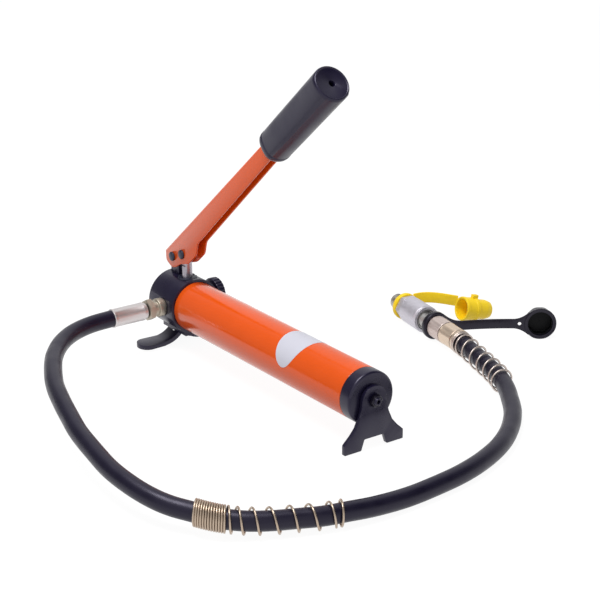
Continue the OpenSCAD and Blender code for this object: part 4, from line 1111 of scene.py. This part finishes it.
black_strap = finished(
    "black_cap_strap",
    bent_plate(black_outline(), black_holes(), STRAP_T, STRAP_EDGE, black_line, black_lift),
    Matrix(), cap_rubber, ["black_dust_cap"],
)
black_ring = finished(
    "black_cap_ring",
    lathe(eased([
        (8.85, 14.5), (BLACK_RING_R, 14.5), (BLACK_RING_R, 21), (8.85, 21)
    ], 1.6, closed=True), ring=True),
    COUPLER, cap_rubber,
)
BLACK_CUP_PLACE = at(*BLACK_CUP) @ turned(BLACK_TURN, "Z") @ turned(90, "Y")
black_cup = finished(
    "black_cap_cup",
    skin(pressed([
        (0.4, 0, -12), (13.6, 0, -12), (14.6, 0.3, -11.4), (15, 0.4, -10.6), (15.8, 0.4, -1.9),
        (16.9, 0.1, -1.5), (17.15, 0.1, -0.7), (17.15, 0.1, 1.0), (16.8, 0.1, 1.6), (15.9, 0.2, 1.8),
        (15, 0.5, 1.3), (13.6, 0.9, -2.3), (13.6, 0.9, -9.4), (0.4, 0, -9.4),
    ], 8)),
    BLACK_CUP_PLACE, cap_rubber, crease=30,
)
# A thin dark sheet just inside the cup's wall and floor: painted shade in the cup's hollow, not a part of the
# cap
black_cup_shade_sheet = finished(
    "black_cap_painted_shade",
    skin(pressed([
        (0.4, 0, -9.3), (13.5, 0.9, -9.3), (13.5, 0.9, -2.4), (13.0, 0.9, -2.6), (12.6, 0.9, -8.6),
        (12, 0.8, -9), (0.4, 0, -9),
    ], 8)),
    BLACK_CUP_PLACE, cup_painted_shade, crease=30,
)

# Yellow cap: a ring on the coupler, a strap to the cup's side, and a cup with a lug
YELLOW_RING_AT = -46.6
YELLOW_CUP = (-23.6, 273.5, 16.3)
YELLOW_TURN = 262
YELLOW_TILT = 12
YELLOW_CUP_R = 13
YELLOW_STRAP_FROM = 10
YELLOW_STRAP_HALF = 6
YELLOW_STRAP_WAY = Vector((0.75, 0.66)).normalized()
YELLOW_LEAD = 12
YELLOW_TAIL = 2
YELLOW_BEND_REACH = 16
YELLOW_SET_IN = 1.5
YELLOW_UP_THE_CUP = 3
YELLOW_RING_LIFT = 6
YELLOW_CUP_LIFT = 4.5
YELLOW_ARCH = 1.5
LUG_SIZE = (4.5, 5, 7)
LUG_AT = (14.2, 0, 14)
LUG_EDGE = 0.6
LUG_CORNER = 60
yellow_side = Vector((math.sin(math.radians(YELLOW_TURN)), -math.cos(math.radians(YELLOW_TURN))))
yellow_inward = -Vector((math.cos(math.radians(YELLOW_TURN)), math.sin(math.radians(YELLOW_TURN))))
yellow_stop = (
    Vector(YELLOW_CUP[:2]) + yellow_side * (YELLOW_CUP_R - YELLOW_SET_IN) + yellow_inward * YELLOW_UP_THE_CUP
)
yellow_line = straight_bend_straight(
    Vector(coupler_point(YELLOW_RING_AT)[:2]), COUPLER_SIDE, YELLOW_LEAD,
    yellow_stop, YELLOW_STRAP_WAY, YELLOW_TAIL, YELLOW_BEND_REACH,
)
yellow_run = plan_length(yellow_line)


def yellow_outline():
    corners = (
        (YELLOW_STRAP_FROM, -1), (yellow_run, -1), (yellow_run, 1), (YELLOW_STRAP_FROM, 1),
    )
    return [(s, side * YELLOW_STRAP_HALF) for s, side in corners]


def yellow_lift(s):
    """Height of the strap's middle: above the coupler's line at the ring, and arched towards the cup."""
    f = min(1, max(0, s / yellow_run))
    at_cup = YELLOW_CUP[2] + YELLOW_CUP_LIFT - COUPLER_H
    return COUPLER_H + YELLOW_RING_LIFT * (1 - f) + at_cup * f + YELLOW_ARCH * math.sin(math.pi * f)


def lug_shape():
    bm = bmesh.new()
    bmesh.ops.create_cube(bm, size=1)
    bmesh.ops.scale(bm, verts=bm.verts, vec=LUG_SIZE)
    bmesh.ops.translate(bm, verts=bm.verts, vec=LUG_AT)
    soften_edges(bm, LUG_EDGE, LUG_CORNER)
    return bm


yellow_strap = finished(
    "yellow_cap_strap",
    bent_plate(yellow_outline(), [], STRAP_T, STRAP_EDGE, yellow_line, yellow_lift),
    Matrix(), yellow, ["yellow_dust_cap"],
)
yellow_ring = finished(
    "yellow_cap_ring",
    lathe(eased([(10.1, -49.3), (14.7, -49.3), (14.7, -43.9), (10.1, -43.9)], 1.2, closed=True), ring=True),
    COUPLER, yellow,
)
YELLOW_CUP_PLACE = at(*YELLOW_CUP) @ turned(YELLOW_TURN, "Z") @ turned(-90 - YELLOW_TILT, "Y")
yellow_cup = finished(
    "yellow_cap_cup",
    lathe(
        [(0, 15)] + eased([
            (0.2, 15), (10.6, 15), (10.8, 0), (13.2, 0), (13.2, 3.4), (12.7, 3.8), (12.7, 13), (13.2, 13.4),
            (13.2, 17.4), (11, 17.8), (10.9, 28.5), (9, 35), (4.8, 38), (0.2, 38.4)
        ], 0.8) + [(0, 38.4)], steps=72,
    ),
    YELLOW_CUP_PLACE, yellow,
)
yellow_lug = finished("yellow_cap_lug", lug_shape(), YELLOW_CUP_PLACE, yellow)

# Every CAD node takes the finish of its slot, which shows on those that no piece replaces
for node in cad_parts.values():
    slot = next(m.name for m in node.data.materials)
    node.data.materials.clear()
    node.data.materials.append(SLOT_FINISH.get(slot.split(".")[0], inner_steel))
